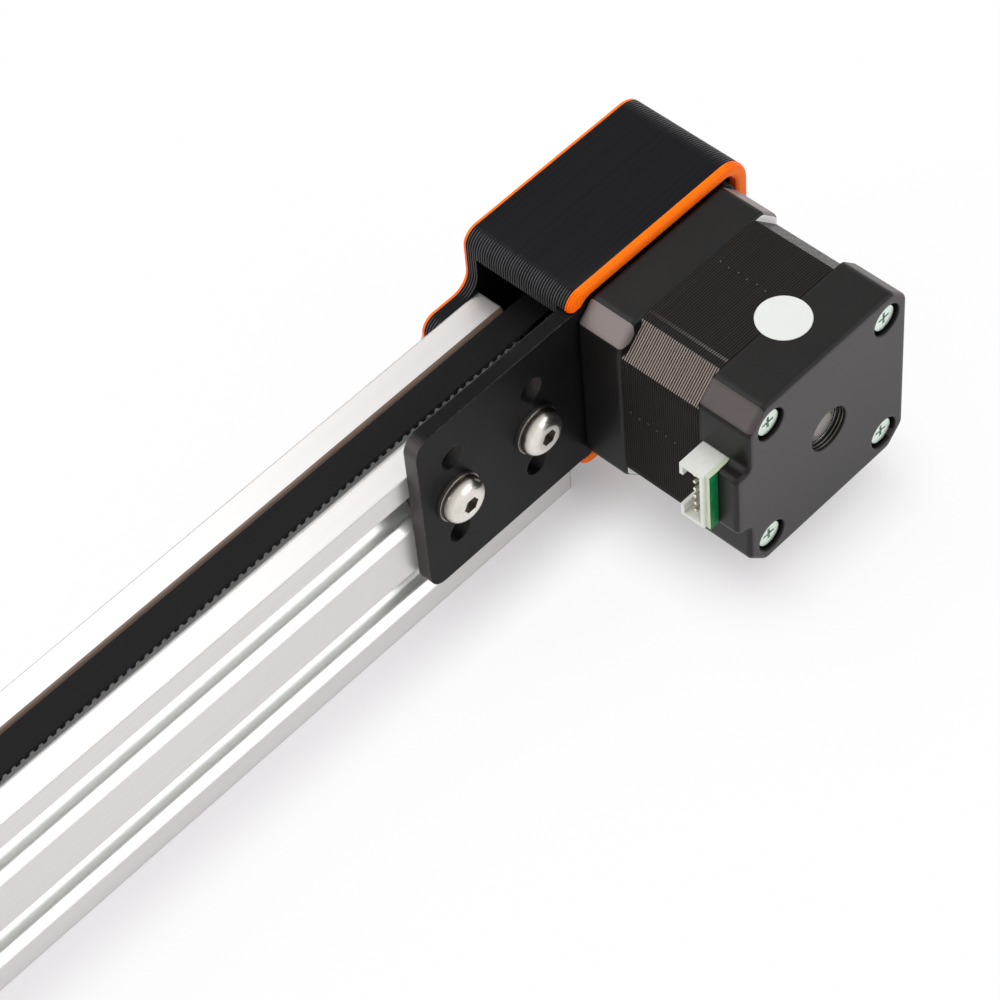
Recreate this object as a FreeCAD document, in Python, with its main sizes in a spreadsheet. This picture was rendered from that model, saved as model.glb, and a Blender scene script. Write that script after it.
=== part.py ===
import FreeCAD, Part
import math
import os
import types

import Sketcher

# Belt driven linear actuator: a V-slot rail with a stepper motor at one end, an idler at the
# other and a wheeled carriage pulled along the top by a toothed belt.
# Frame: X runs along the rail towards the motor, Z is up, the motor hangs on the -Y side.
# The origin is the middle of the rail's underside. Millimetres and degrees.

driving_sizes = {
    # Clearances, and how far a cut runs past a face
    "snug_gap": 0.02,
    "close_gap": 0.05,
    "bolt_gap": 0.1,
    "free_gap": 0.3,
    "over_cut": 1,
    # Rail, 20 x 40 with six V slots
    "rail_length": 600,
    "rail_width": 20,
    "rail_height": 40,
    "slot_mouth": 9.16,
    "slot_neck": 6.25,
    "slot_lip": 1.8,
    "slot_inside": 11,
    "slot_wall": 3.4,
    "slot_depth": 6.1,
    "slot_web": 2.2,
    "core_hole_radius": 2.1,
    # Belt and pulleys, 2 mm pitch
    "end_gap": 22.5,
    "axis_height": 30,
    "tooth_pitch": 2,
    "pulley_teeth": 32,
    "belt_width": 6,
    "belt_body": 0.63,
    "belt_tooth_height": 0.75,
    "belt_tooth_root": 1.36,
    "belt_tooth_tip": 0.8,
    "pitch_line_offset": 0.254,
    "mesh_clearance": 0.06,
    "mesh_side_gap": 0.09,
    "mesh_floor_gap": 0.12,
    "pulley_face": 7,
    "pulley_flange": 1,
    "flange_rim": 0.5,
    "flange_radius": 12,
    "hub_radius": 8,
    "hub_length": 4.9,
    # Flat plates at the rail ends
    "plate_thickness": 3,
    "plate_height": 40,
    "plate_corner": 3.5,
    "plate_reach": 61.6,
    "motor_plate_tail": 21,
    "idler_plate_tail": 15,
    "column_far": 53.4,
    "column_near": 33.4,
    "row_spacing": 10,
    "bolt_hole_radius": 2.65,
    # M5 hardware
    "bolt_radius": 2.45,
    "button_head_radius": 4.75,
    "button_head_height": 2.75,
    "button_dome": 2.3,
    "hex_across": 3,
    "hex_depth": 1.6,
    "washer_radius": 5,
    "washer_thickness": 1,
    "rail_screw_length": 8,
    "nut_across": 8,
    "nut_height": 4.7,
    "nut_flat_height": 3.5,
    "nut_collar_radius": 3.5,
    "tee_nut_length": 10,
    "tee_nut_neck": 6,
    "tee_nut_width": 10.2,
    "tee_nut_toe": 6,
    "tee_nut_foot": 5.2,
    "tee_nut_hole": 2.5,
    # Motor, 42.3 mm square, lengths along its axis
    "motor_side": 42.3,
    "motor_chamfer": 4,
    "bell_corner_round": 2.2,
    "bell_rim_round": 1,
    "bell_lip_round": 0.8,
    "stack_chamfer": 6.4,
    "stack_tip_run": 7.8,
    "stack_tip_drop": 0.4,
    "front_bell_length": 10.3,
    "stack_length": 18.2,
    "rear_bell_length": 11.5,
    "screw_square": 31,
    "pilot_radius": 11,
    "pilot_height": 2,
    "bell_cavity_radius": 18.3,
    "front_bell_wall": 3.8,
    "rear_bell_wall": 3,
    "rear_hole_radius": 4.65,
    "bearing_boss_radius": 10.5,
    "stack_side": 42.1,
    "stator_bore": 12.05,
    "pole_count": 8,
    "pole_shoe": 1.5,
    "winding_mouth": 2.4,
    "winding_shoulder": 6.8,
    "winding_floor": 10.4,
    "winding_depth": 5.5,
    "coil_offset": 2.2,
    "coil_height": 2.6,
    "coil_outside": 9.2,
    "coil_inside": 4.4,
    "coil_overhang": 3,
    "coil_gap": 0.4,
    "rotor_radius": 11.75,
    "rotor_core_length": 7.4,
    "magnet_length": 1.6,
    "magnet_radius": 10.4,
    "shaft_radius": 2.5,
    "shaft_front": 9,
    "shaft_flat": 0.5,
    "shaft_flat_length": 14,
    "shaft_inset": 1.4,
    "shaft_hole_radius": 3.2,
    "small_screw_radius": 1.45,
    "small_hole_radius": 1.7,
    "small_thread_radius": 1.5,
    "small_head_radius": 2.75,
    "small_head_height": 3,
    "small_hex_across": 2.5,
    "small_recess": 1.6,
    "cross_reach": 1.4,
    "cross_width": 0.6,
    "cross_depth": 0.9,
    "mount_screw_length": 7.5,
    "through_screw_stop": 5,
    "set_screw_length": 4.5,
    "set_screw_hex": 1.5,
    "rear_screw_head_radius": 2.65,
    "rear_screw_head_height": 2.1,
    "counterbore_radius": 3.4,
    "counterbore_depth": 2.8,
    "connector_reach": 6.15,
    "connector_depth": 7.8,
    "connector_thickness": 5.4,
    "connector_width": 14.2,
    "connector_lift": 0.6,
    "connector_wall": 0.8,
    "connector_setback": 0.7,
    "connector_base": 2.4,
    "connector_key": 8.4,
    "shelf_reach": 3.4,
    "shelf_half_height": 7.8,
    "shelf_thickness": 4.4,
    "shelf_foot_round": 2,
    "shelf_top_round": 0.8,
    "shelf_joint_round": 1.2,
    "window_margin": 0.3,
    "window_lip": 0.4,
    "window_depth": 5,
    "pin_count": 6,
    "pin_setback": 0.8,
    "board_setback": 0.6,
    "board_thickness": 1,
    "pin_pitch": 2,
    "pin_side": 0.6,
    # Sealed ball bearing, 5 x 16 x 5
    "bearing_outer": 7.98,
    "bearing_bore": 2.52,
    "bearing_width": 5,
    "bearing_inner_ring": 3.9,
    "bearing_shield_bore": 4.25,
    "bearing_outer_ring": 6.8,
    "bearing_shield": 0.4,
    "bearing_seat": 8.0,
    "seat_lip_radius": 7,
    "front_seat_lip": 1.2,
    "rear_seat_lip": 2,
    "shim_thickness": 1,
    "shim_radius": 3.8,
    # Carriage
    "carriage_length": 84,
    "carriage_width": 64,
    "carriage_corner": 6,
    "wheel_base": 60,
    "wheel_track": 39.7,
    "wheel_radius": 11.95,
    "wheel_width": 10.2,
    "wheel_gap": 0.28,
    "spacer_length": 6,
    "spacer_radius": 5,
    "eccentric_across": 10,
    "eccentric_boss_radius": 3.55,
    "eccentric_boss_height": 2.5,
    "wheel_bolt_length": 30,
    "payload_x": 20,
    "payload_y": 50,
    "payload_hole_radius": 2.6,
    "belt_exit": 8,
    "belt_tail": 16,
    "tail_lead": 0.6,
    "belt_slot_width": 8,
    "belt_slot_lead": 1.8,
    "clamp_centre": 20,
    "clamp_length": 10,
    "clamp_width": 24,
    "clamp_height": 4,
    "clamp_screw_spacing": 17,
    "clamp_screw_length": 8,
    "clamp_corner": 3,
    # Idler
    "idler_width": 11,
    "idler_bolt_length": 35,
    # Drive cover
    "cover_roof": 2.4,
    "cover_wall": 3,
    "cover_end_wall": 3.4,
    "cover_half_height": 23.2,
    "cover_front": 22.2,
    "cover_back": 25,
    "cover_front_round": 3.2,
    "cover_mouth_half": 18.1,
    "cover_rim_round": 1.1,
    "cover_back_round": 6,
    "cover_inner_round": 3,
    "cover_tab_reach": 34.3,
    "cover_tab_round": 3,
    "cover_joint_round": 4,
    "cover_screw": 28.3,
}


class Dim(float):
    """A size that is a number here and an expression on the sheet."""

    def __new__(cls, value, text):
        made = super().__new__(cls, value)
        made.text = text
        return made

    def __add__(self, other):
        return Dim(float(self) + float(other), f"({self.text} + {words(other)})")

    def __radd__(self, other):
        return Dim(float(other) + float(self), f"({words(other)} + {self.text})")

    def __sub__(self, other):
        return Dim(float(self) - float(other), f"({self.text} - {words(other)})")

    def __rsub__(self, other):
        return Dim(float(other) - float(self), f"({words(other)} - {self.text})")

    def __mul__(self, other):
        return Dim(float(self) * float(other), f"({self.text} * {words(other)})")

    __rmul__ = __mul__

    def __truediv__(self, other):
        return Dim(float(self) / float(other), f"({self.text} / {words(other)})")

    def __neg__(self):
        return Dim(-float(self), f"(-1 * {self.text})")


def words(value):
    return value.text if isinstance(value, Dim) else f"({float(value):.10g})"


doc = FreeCAD.newDocument("belt_driven_actuator")
sheet = doc.addObject("Spreadsheet::Sheet", "Sizes")
size = types.SimpleNamespace()
for row, (alias, amount) in enumerate(driving_sizes.items(), 1):
    sheet.set(f"A{row}", alias)
    sheet.set(f"B{row}", str(amount))
    sheet.setAlias(f"B{row}", alias)
    setattr(size, alias, Dim(amount, f"Sizes.{alias}"))
doc.recompute()

nodes = []
hair = 1e-4  # places closer than this are the same


def bind(thing, prop, value):
    thing.setExpression(prop, words(value))


def place(thing, x=0, y=0, z=0, axis=(0, 0, 1), turn=0):
    spin = FreeCAD.Rotation(FreeCAD.Vector(*axis), turn)
    thing.Placement = FreeCAD.Placement(FreeCAD.Vector(x, y, z), spin)
    for letter, value in zip("xyz", (x, y, z)):
        if isinstance(value, Dim):
            bind(thing, f"Placement.Base.{letter}", value)
    return thing


def node(thing, label):
    """Names a finished sub-part and lists it for export."""
    thing.Label = label
    nodes.append(thing)
    return thing


def new_body(name):
    return doc.addObject("PartDesign::Body", name)


def group(label, spots):
    """One node of like solids: each spot is a source, x, y, z and an optional turn."""
    links = []
    for source, x, y, z, *turn in spots:
        link = doc.addObject("App::Link", f"{label}_item")
        link.LinkedObject = source
        axis, angle = turn if turn else ((0, 0, 1), 0)
        links.append(place(link, x, y, z, axis, angle))
    compound = doc.addObject("Part::Compound", label)
    compound.Links = links
    return node(compound, label)


# Sketch helpers: every point is tied to the sheet


def tie(constraints, bound, geo, point, kind, value):
    if abs(value) < hair:
        axis = -2 if kind == "DistanceX" else -1
        constraints.append(Sketcher.Constraint("PointOnObject", geo, point, axis))
        return
    ends = (-1, 1, geo, point) if value > 0 else (geo, point, -1, 1)
    bound[len(constraints)] = value if value > 0 else -value
    constraints.append(Sketcher.Constraint(kind, *ends, abs(value)))


def add_constraints(sketch, constraints, bound):
    indexes = sketch.addConstraint(constraints)
    for position, value in bound.items():
        if isinstance(value, Dim):
            bind(sketch, f"Constraints[{indexes[position]}]", value)


def new_sketch(body, role, offset=0):
    sketch = body.newObject("Sketcher::SketchObject", f"{body.Name}_sketch")
    support = next(p for p in body.Origin.OriginFeatures if p.Role == role)
    sketch.AttachmentSupport = [(support, "")]
    sketch.MapMode = "FlatFace"
    bind(sketch, "AttachmentOffset.Base.z", offset)
    return sketch


def polygon(sketch, points):
    first = sketch.GeometryCount
    count = len(points)
    vectors = [FreeCAD.Vector(float(x), float(y), 0) for x, y in points]
    for i in range(count):
        sketch.addGeometry(Part.LineSegment(vectors[i], vectors[(i + 1) % count]))
    constraints = []
    bound = {}
    for i in range(count):
        nxt = first + (i + 1) % count
        constraints.append(Sketcher.Constraint("Coincident", first + i, 2, nxt, 1))
        tie(constraints, bound, first + i, 1, "DistanceX", points[i][0])
        tie(constraints, bound, first + i, 1, "DistanceY", points[i][1])
    add_constraints(sketch, constraints, bound)


def rectangle(sketch, x0, x1, y0, y1):
    polygon(sketch, [(x0, y0), (x1, y0), (x1, y1), (x0, y1)])


def circle(sketch, x, y, radius):
    centre = FreeCAD.Vector(float(x), float(y), 0)
    geo = sketch.addGeometry(Part.Circle(centre, FreeCAD.Vector(0, 0, 1), float(radius)))
    constraints = []
    bound = {}
    tie(constraints, bound, geo, 3, "DistanceX", x)
    tie(constraints, bound, geo, 3, "DistanceY", y)
    bound[len(constraints)] = radius
    constraints.append(Sketcher.Constraint("Radius", geo, float(radius)))
    add_constraints(sketch, constraints, bound)


def hexagon(sketch, across):
    """Six corners round the sketch origin, with flats top and bottom."""
    corner = across / math.sqrt(3)
    flat = across / 2
    half = corner / 2
    ring = [(corner, 0), (half, flat), (-half, flat), (-corner, 0), (-half, -flat), (half, -flat)]
    polygon(sketch, ring)


def chamfered_square(sketch, side, chamfer):
    half = side / 2
    cut = half - chamfer
    ring = [(half, -cut), (half, cut), (cut, half), (-cut, half)]
    polygon(sketch, ring + [(-x, -y) for x, y in ring])


# Feature helpers


def pad(body, sketch, length, symmetric=False, reverse=False):
    feature = body.newObject("PartDesign::Pad", f"{body.Name}_pad")
    feature.Profile = sketch
    feature.SideType = "Symmetric" if symmetric else "One side"
    feature.Reversed = reverse
    bind(feature, "Length", length)
    return feature


def pocket(body, sketch, depth=None, symmetric=False, reverse=False):
    """Cuts to a depth, or right through both ways where no depth is given."""
    feature = body.newObject("PartDesign::Pocket", f"{body.Name}_pocket")
    feature.Profile = sketch
    feature.SideType = "Symmetric" if symmetric or depth is None else "One side"
    feature.Reversed = reverse
    if depth is None:
        feature.Type = "ThroughAll"
    else:
        bind(feature, "Length", depth)
    return feature


def revolve(body, sketch):
    feature = body.newObject("PartDesign::Revolution", f"{body.Name}_revolution")
    feature.Profile = sketch
    feature.ReferenceAxis = (sketch, ["V_Axis"])
    feature.Angle = 360
    return feature


def polar(body, original, sketch, count):
    feature = body.newObject("PartDesign::PolarPattern", f"{body.Name}_polar")
    feature.Originals = [original]
    feature.Axis = (sketch, ["N_Axis"])
    feature.Angle = 360
    bind(feature, "Occurrences", count)
    body.Tip = feature
    return feature


def round_edges(body, radius, test):
    """Rounds the edges of the body so far that pass a test."""
    doc.recompute()
    base = body.Tip
    names = [f"Edge{i}" for i, edge in enumerate(base.Shape.Edges, 1) if test(edge)]
    feature = body.newObject("PartDesign::Fillet", f"{body.Name}_fillet")
    feature.Base = (base, names)
    bind(feature, "Radius", radius)
    return feature


def ring_at(level):
    """Test for a full circle round local Y at one level."""
    return lambda e: len(e.Vertexes) == 1 and abs(e.Vertexes[0].Y - float(level)) < hair


def rim_at(level):
    """Test for edges that lie at one level of local Y."""
    return lambda e: all(abs(v.Y - float(level)) < hair for v in e.Vertexes)


def runs_along(edge, axis):
    if len(edge.Vertexes) != 2:
        return False
    start, end = (v.Point for v in edge.Vertexes)
    return abs((end - start).normalize().dot(FreeCAD.Vector(*axis))) > 1 - hair


def edge_at(axis, *spots):
    """Test for edges along an axis that pass through one of the given points."""
    flat = [i for i in range(3) if not axis[i]]

    def test(edge):
        if not runs_along(edge, axis):
            return False
        point = edge.Vertexes[0].Point
        return any(all(abs(point[i] - float(s[i])) < hair for i in flat) for s in spots)

    return test


# Places that several pieces share

half_rail = size.rail_length / 2
half_width = size.rail_width / 2
motor_x = half_rail + size.end_gap
idler_x = -motor_x
motor_face = half_width + size.plate_thickness
pitch_radius = size.pulley_teeth * size.tooth_pitch / (2 * math.pi)
land_radius = pitch_radius - size.pitch_line_offset
back_radius = land_radius + size.belt_body
tip_radius = land_radius - size.belt_tooth_height
bearing_stack = size.bearing_width * 2 + size.shim_thickness
stack_top = size.axis_height + bearing_stack / 2
carriage_under = stack_top + size.shim_thickness + size.spacer_length
carriage_top = carriage_under + size.plate_thickness


# Rail


def slot_ring(outward, centre_y, centre_z):
    """Outline of one slot in the YZ plane, from its mouth to its floor."""
    mouth = size.slot_mouth / 2
    neck = size.slot_neck / 2
    inside = size.slot_inside / 2
    floor = inside - (size.slot_depth - size.slot_wall)
    right = [
        (mouth, 0),
        (neck, mouth - neck),
        (neck, size.slot_lip),
        (inside, size.slot_lip),
        (inside, size.slot_wall),
        (floor, size.slot_depth),
    ]
    ring = right + [(-across, depth) for across, depth in reversed(right)]
    along_y, along_z = outward
    return [
        (
            centre_y - depth * along_y + across * abs(along_z),
            centre_z - depth * along_z + across * abs(along_y),
        )
        for across, depth in ring
    ]


def build_rail():
    body = new_body("rail")
    outline = new_sketch(body, "YZ_Plane")
    rectangle(outline, -half_width, half_width, 0, size.rail_height)
    pad(body, outline, size.rail_length, symmetric=True)
    slots = new_sketch(body, "YZ_Plane")
    low_row = size.rail_height - size.axis_height
    polygon(slots, slot_ring((0, 1), 0, size.rail_height))
    polygon(slots, slot_ring((0, -1), 0, 0))
    for row in (low_row, size.axis_height):
        for side in (-1, 1):
            polygon(slots, slot_ring((side, 0), half_width * side, row))
    pocket(body, slots)
    hollows = new_sketch(body, "YZ_Plane")
    middle = size.rail_height / 2
    wall = half_width - size.slot_lip
    core = half_width - size.slot_depth
    diagonal = half_width - size.slot_wall + size.axis_height - size.slot_inside / 2 - size.slot_web
    roof = size.axis_height - core
    shoulder = diagonal - roof
    corner = diagonal - wall
    upper = [(wall, corner), (shoulder, roof), (-shoulder, roof), (-wall, corner)]
    lower = [(y, middle * 2 - z) for y, z in reversed(upper)]
    polygon(hollows, upper + lower)
    for row in (low_row, size.axis_height):
        circle(hollows, 0, row, size.core_hole_radius)
    pocket(body, hollows)
    node(body, "rail")


# Belt: a closed loop whose inner line carries the teeth


def tooth_points(origin, along, inward):
    """The four corners of one tooth standing on the land line."""
    root = float(size.belt_tooth_root) / 2
    tip = float(size.belt_tooth_tip) / 2
    rise = inward * float(size.belt_tooth_height)
    return [
        origin - along * root,
        origin - along * tip + rise,
        origin + along * tip + rise,
        origin + along * root,
    ]


def build_belt():
    span = float(motor_x - idler_x)
    radius = float(pitch_radius)
    half_turn = math.pi * radius
    land = float(land_radius)
    back = float(back_radius)
    up = FreeCAD.Vector(0, 0, 1)
    forward = FreeCAD.Vector(1, 0, 0)
    left = FreeCAD.Vector(idler_x, 0, size.axis_height)
    right = FreeCAD.Vector(motor_x, 0, size.axis_height)

    def tooth_at(travel):
        """Walks the loop from the top of the drive pulley, along the top strand first."""
        if travel < span:
            return tooth_points(right + up * land - forward * travel, -forward, -up)
        travel -= span
        if travel < half_turn:
            return tooth_round(left, travel / radius, up, -forward)
        travel -= half_turn
        if travel < span:
            return tooth_points(left - up * land + forward * travel, forward, up)
        return tooth_round(right, (travel - span) / radius, -up, forward)

    def tooth_round(centre, turn, start, side):
        out = start * math.cos(turn) + side * math.sin(turn)
        along = side * math.cos(turn) - start * math.sin(turn)
        return tooth_points(centre + out * land, along, -out)

    pitch = float(size.tooth_pitch)
    count = round((span + half_turn) * 2 / pitch)
    corners = [point for i in range(count) for point in tooth_at(i * pitch)]
    teeth = Part.makePolygon(corners + corners[:1])
    rim = Part.Wire(
        [
            Part.LineSegment(right + up * back, left + up * back).toShape(),
            Part.Arc(left + up * back, left - forward * back, left - up * back).toShape(),
            Part.LineSegment(left - up * back, right - up * back).toShape(),
            Part.Arc(right - up * back, right + forward * back, right + up * back).toShape(),
        ]
    )
    face = Part.makeFace([rim, teeth], "Part::FaceMakerBullseye")
    width = float(size.belt_width)
    face.translate(FreeCAD.Vector(0, -width / 2, 0))
    belt = doc.addObject("Part::Feature", "timing_belt")
    belt.Shape = face.extrude(FreeCAD.Vector(0, width, 0))
    node(belt, "timing_belt")


# M5 and M3 hardware, with the axis on local Y and the head towards -Y


def button_screw(name, length):
    body = new_body(name)
    outline = new_sketch(body, "XY_Plane")
    head = size.button_head_radius
    shank = size.bolt_radius
    top = -size.button_head_height
    polygon(outline, [(0, length), (0, top), (head, top), (head, 0), (shank, 0), (shank, length)])
    revolve(body, outline)
    round_edges(body, size.button_dome, ring_at(top))
    socket = new_sketch(body, "XZ_Plane", size.button_head_height)
    hexagon(socket, size.hex_across)
    pocket(body, socket, size.hex_depth)
    return body


def small_screw(name, length, head_radius, head_height, cross=False):
    """M3 screw with a hex socket, or with a cross recess."""
    body = new_body(name)
    outline = new_sketch(body, "XY_Plane")
    shank = size.small_screw_radius
    top = -head_height
    polygon(
        outline,
        [(0, length), (0, top), (head_radius, top), (head_radius, 0), (shank, 0), (shank, length)],
    )
    revolve(body, outline)
    recess = new_sketch(body, "XZ_Plane", head_height)
    depth = size.small_recess
    if cross:
        depth = size.cross_depth
        arm = size.cross_reach
        half = size.cross_width / 2
        quarter = [(arm, -half), (arm, half), (half, half)]
        ring = []
        for _ in range(4):
            ring += quarter
            quarter = [(-y, x) for x, y in quarter]
        polygon(recess, ring)
    else:
        hexagon(recess, size.small_hex_across)
    pocket(body, recess, depth)
    return body


def ring_solid(name, outer, inner, length):
    """Plain collar with its axis on local Z, its foot at the local origin."""
    body = new_body(name)
    outline = new_sketch(body, "XY_Plane")
    circle(outline, 0, 0, outer)
    circle(outline, 0, 0, inner)
    pad(body, outline, length)
    return body


def lock_nut(name):
    """Hex nut with a rounded insert collar, foot at the origin, axis on local Z."""
    body = new_body(name)
    flats = new_sketch(body, "XY_Plane")
    hexagon(flats, size.nut_across)
    circle(flats, 0, 0, size.bolt_radius + size.close_gap)
    pad(body, flats, size.nut_flat_height)
    collar = new_sketch(body, "XY_Plane", size.nut_flat_height)
    circle(collar, 0, 0, size.nut_collar_radius)
    circle(collar, 0, 0, size.bolt_radius + size.close_gap)
    pad(body, collar, size.nut_height - size.nut_flat_height)
    return body


def tee_nut(name):
    """Slot nut: neck between the lips, shoulders under them, outside towards -Y."""
    body = new_body(name)
    profile = new_sketch(body, "YZ_Plane")
    neck = size.tee_nut_neck / 2
    shoulder = size.tee_nut_width / 2
    lip = size.slot_lip
    wall = size.slot_wall
    toe = (size.tee_nut_foot, size.tee_nut_toe / 2)
    right = [(size.free_gap, neck), (lip, neck), (lip, shoulder), (wall, shoulder), toe]
    polygon(profile, right + [(depth, -across) for depth, across in reversed(right)])
    pad(body, profile, size.tee_nut_length, symmetric=True)
    thread = new_sketch(body, "XZ_Plane")
    circle(thread, 0, 0, size.tee_nut_hole)
    pocket(body, thread)
    return body


def bearing_shell(name):
    """Outer ring and both shields of a sealed bearing, centred on local Z."""
    body = new_body(name)
    half = size.bearing_width / 2
    inset = half - size.bearing_shield
    outline = new_sketch(body, "XZ_Plane")
    right = [(size.bearing_outer, half), (size.bearing_shield_bore, half)]
    right += [(size.bearing_shield_bore, inset), (size.bearing_outer_ring, inset)]
    polygon(outline, right + [(r, -z) for r, z in reversed(right)])
    revolve(body, outline)
    return body


# Plates at the two ends of the rail


def end_plate(label, outward, reach_side, tail, round_holes):
    """Plate on one side of the rail; its own X runs from the axis out over the rail."""
    body = new_body(label)
    half = size.plate_height / 2
    near = half_width * outward if outward < 0 else half_width + size.plate_thickness
    offset = -near
    outline = new_sketch(body, "XZ_Plane", offset)
    inner = size.plate_reach * reach_side
    outer = tail * -reach_side
    rectangle(outline, min(inner, outer), max(inner, outer), -half, half)
    pad(body, outline, size.plate_thickness)
    round_edges(body, size.plate_corner, lambda e: runs_along(e, (0, 1, 0)))
    holes = new_sketch(body, "XZ_Plane", offset)
    for column in (size.column_far, size.column_near):
        for row in (-1, 0, 1):
            circle(holes, column * reach_side, size.row_spacing * row, size.bolt_hole_radius)
    for x, z, radius in round_holes:
        circle(holes, x, z, radius)
    pocket(body, holes)
    place(body, motor_x if reach_side < 0 else idler_x, 0, size.axis_height)
    node(body, label)


def build_end_plates():
    half = size.screw_square / 2
    motor_holes = [(half * x, half * z, size.small_hole_radius) for x in (-1, 1) for z in (-1, 1)]
    motor_holes.append((0, 0, size.pilot_radius + size.free_gap))
    end_plate("motor_plate", -1, -1, size.motor_plate_tail, motor_holes)
    axle = [(0, 0, size.bolt_radius + size.bolt_gap)]
    end_plate("idler_plate_near", -1, 1, size.idler_plate_tail, axle)
    end_plate("idler_plate_far", 1, 1, size.idler_plate_tail, axle)


def build_rail_hardware():
    """Screws, washers and slot nuts that hold the plates and the cover to the rail."""
    screw = button_screw("rail_screw_source", size.rail_screw_length)
    washer = ring_solid(
        "washer_source", size.washer_radius, size.bolt_radius + size.bolt_gap, size.washer_thickness
    )
    nut = tee_nut("tee_nut_source")
    far_turn = ((0, 0, 1), 180)
    screws = []
    washers = []
    nuts = []

    def fasten(x, side):
        turn = far_turn if side > 0 else ((0, 0, 1), 0)
        face = motor_face * side
        screws.append((screw, x, face + size.washer_thickness * side, size.axis_height, *turn))
        washer_turn = ((1, 0, 0), -90 * side)
        washers.append((washer, x, face, size.axis_height, *washer_turn))
        nuts.append((nut, x, half_width * side, size.axis_height, *turn))

    for column in (size.column_far, size.column_near):
        fasten(motor_x - column, -1)
        for side in (-1, 1):
            fasten(idler_x + column, side)
    fasten(motor_x - size.cover_screw, 1)
    group("rail_screws", screws)
    group("rail_washers", washers)
    group("rail_slot_nuts", nuts)


# Motor, drawn round its own axis: sketch x is X, sketch y is Z


def at_motor(body):
    return place(body, motor_x, 0, size.axis_height)


def screw_corners(sketch, radius):
    half = size.screw_square / 2
    for x in (-1, 1):
        for z in (-1, 1):
            circle(sketch, half * x, half * z, radius)


stack_front = motor_face + size.front_bell_length
stack_back = stack_front + size.stack_length
motor_back = stack_back + size.rear_bell_length
front_bearing_face = motor_face - size.pilot_height + size.front_seat_lip
rear_bearing_face = motor_back - size.rear_seat_lip


def build_front_bell():
    body = new_body("motor_front_bell")
    outline = new_sketch(body, "XZ_Plane", motor_face)
    chamfered_square(outline, size.motor_side, size.motor_chamfer)
    pad(body, outline, size.front_bell_length)
    round_edges(body, size.bell_corner_round, lambda e: runs_along(e, (0, 1, 0)))
    round_edges(body, size.bell_lip_round, rim_at(-stack_front))
    round_edges(body, size.bell_rim_round, rim_at(-motor_face))
    pilot = new_sketch(body, "XZ_Plane", motor_face)
    circle(pilot, 0, 0, size.pilot_radius)
    pad(body, pilot, size.pilot_height, reverse=True)
    cavity = new_sketch(body, "XZ_Plane", stack_front)
    circle(cavity, 0, 0, size.bell_cavity_radius)
    pocket(body, cavity, size.front_bell_length - size.front_bell_wall)
    seat = new_sketch(body, "XZ_Plane", stack_front)
    circle(seat, 0, 0, size.bearing_seat)
    pocket(body, seat, stack_front - front_bearing_face)
    holes = new_sketch(body, "XZ_Plane", motor_face)
    circle(holes, 0, 0, size.shaft_hole_radius)
    screw_corners(holes, size.small_thread_radius)
    pocket(body, holes)
    node(at_motor(body), "motor_front_bell")


def build_stator():
    body = new_body("motor_stator")
    outline = new_sketch(body, "XZ_Plane", stack_front)
    half = size.stack_side / 2
    tip = half - size.stack_tip_run
    drop = half - size.stack_tip_drop
    shoulder = half - (size.stack_chamfer - size.stack_tip_drop)
    ring = [(half, -tip), (half, tip), (drop, shoulder), (shoulder, drop)]
    ring += [(tip, half), (-tip, half), (-shoulder, drop), (-drop, shoulder)]
    polygon(outline, ring + [(-x, -z) for x, z in ring])
    circle(outline, 0, 0, size.stator_bore)
    screw_corners(outline, size.small_hole_radius)
    pad(body, outline, size.stack_length)
    winding_slot = new_sketch(body, "XZ_Plane", stack_front)
    mouth = size.winding_mouth / 2
    shoe = size.stator_bore + size.pole_shoe
    floor = size.stator_bore + size.winding_depth
    right = [
        (mouth, size.stator_bore - size.over_cut),
        (mouth, shoe),
        (size.winding_shoulder / 2, shoe),
        (size.winding_floor / 2, floor),
    ]
    polygon(winding_slot, right + [(-x, z) for x, z in reversed(right)])
    cut = pocket(body, winding_slot)
    polar(body, cut, winding_slot, size.pole_count)
    node(at_motor(body), "motor_stator")


def build_windings():
    """Eight flat coils, each round one stator pole."""
    coil = new_body("coil_source")
    outline = new_sketch(coil, "XY_Plane", size.stator_bore + size.coil_offset)
    half_length = size.stack_length / 2
    for width, overhang in (
        (size.coil_outside, size.coil_overhang),
        (size.coil_inside, size.coil_gap),
    ):
        half = width / 2
        end = half_length + overhang
        rectangle(outline, -half, half, -end, end)
    pad(coil, outline, size.coil_height)
    middle = stack_front + half_length
    spots = []
    count = int(size.pole_count)
    for i in range(count):
        turn = ((0, 1, 0), (i + 0.5) * 360 / count)
        spots.append((coil, motor_x, -middle, size.axis_height, *turn))
    group("motor_windings", spots)


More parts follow.
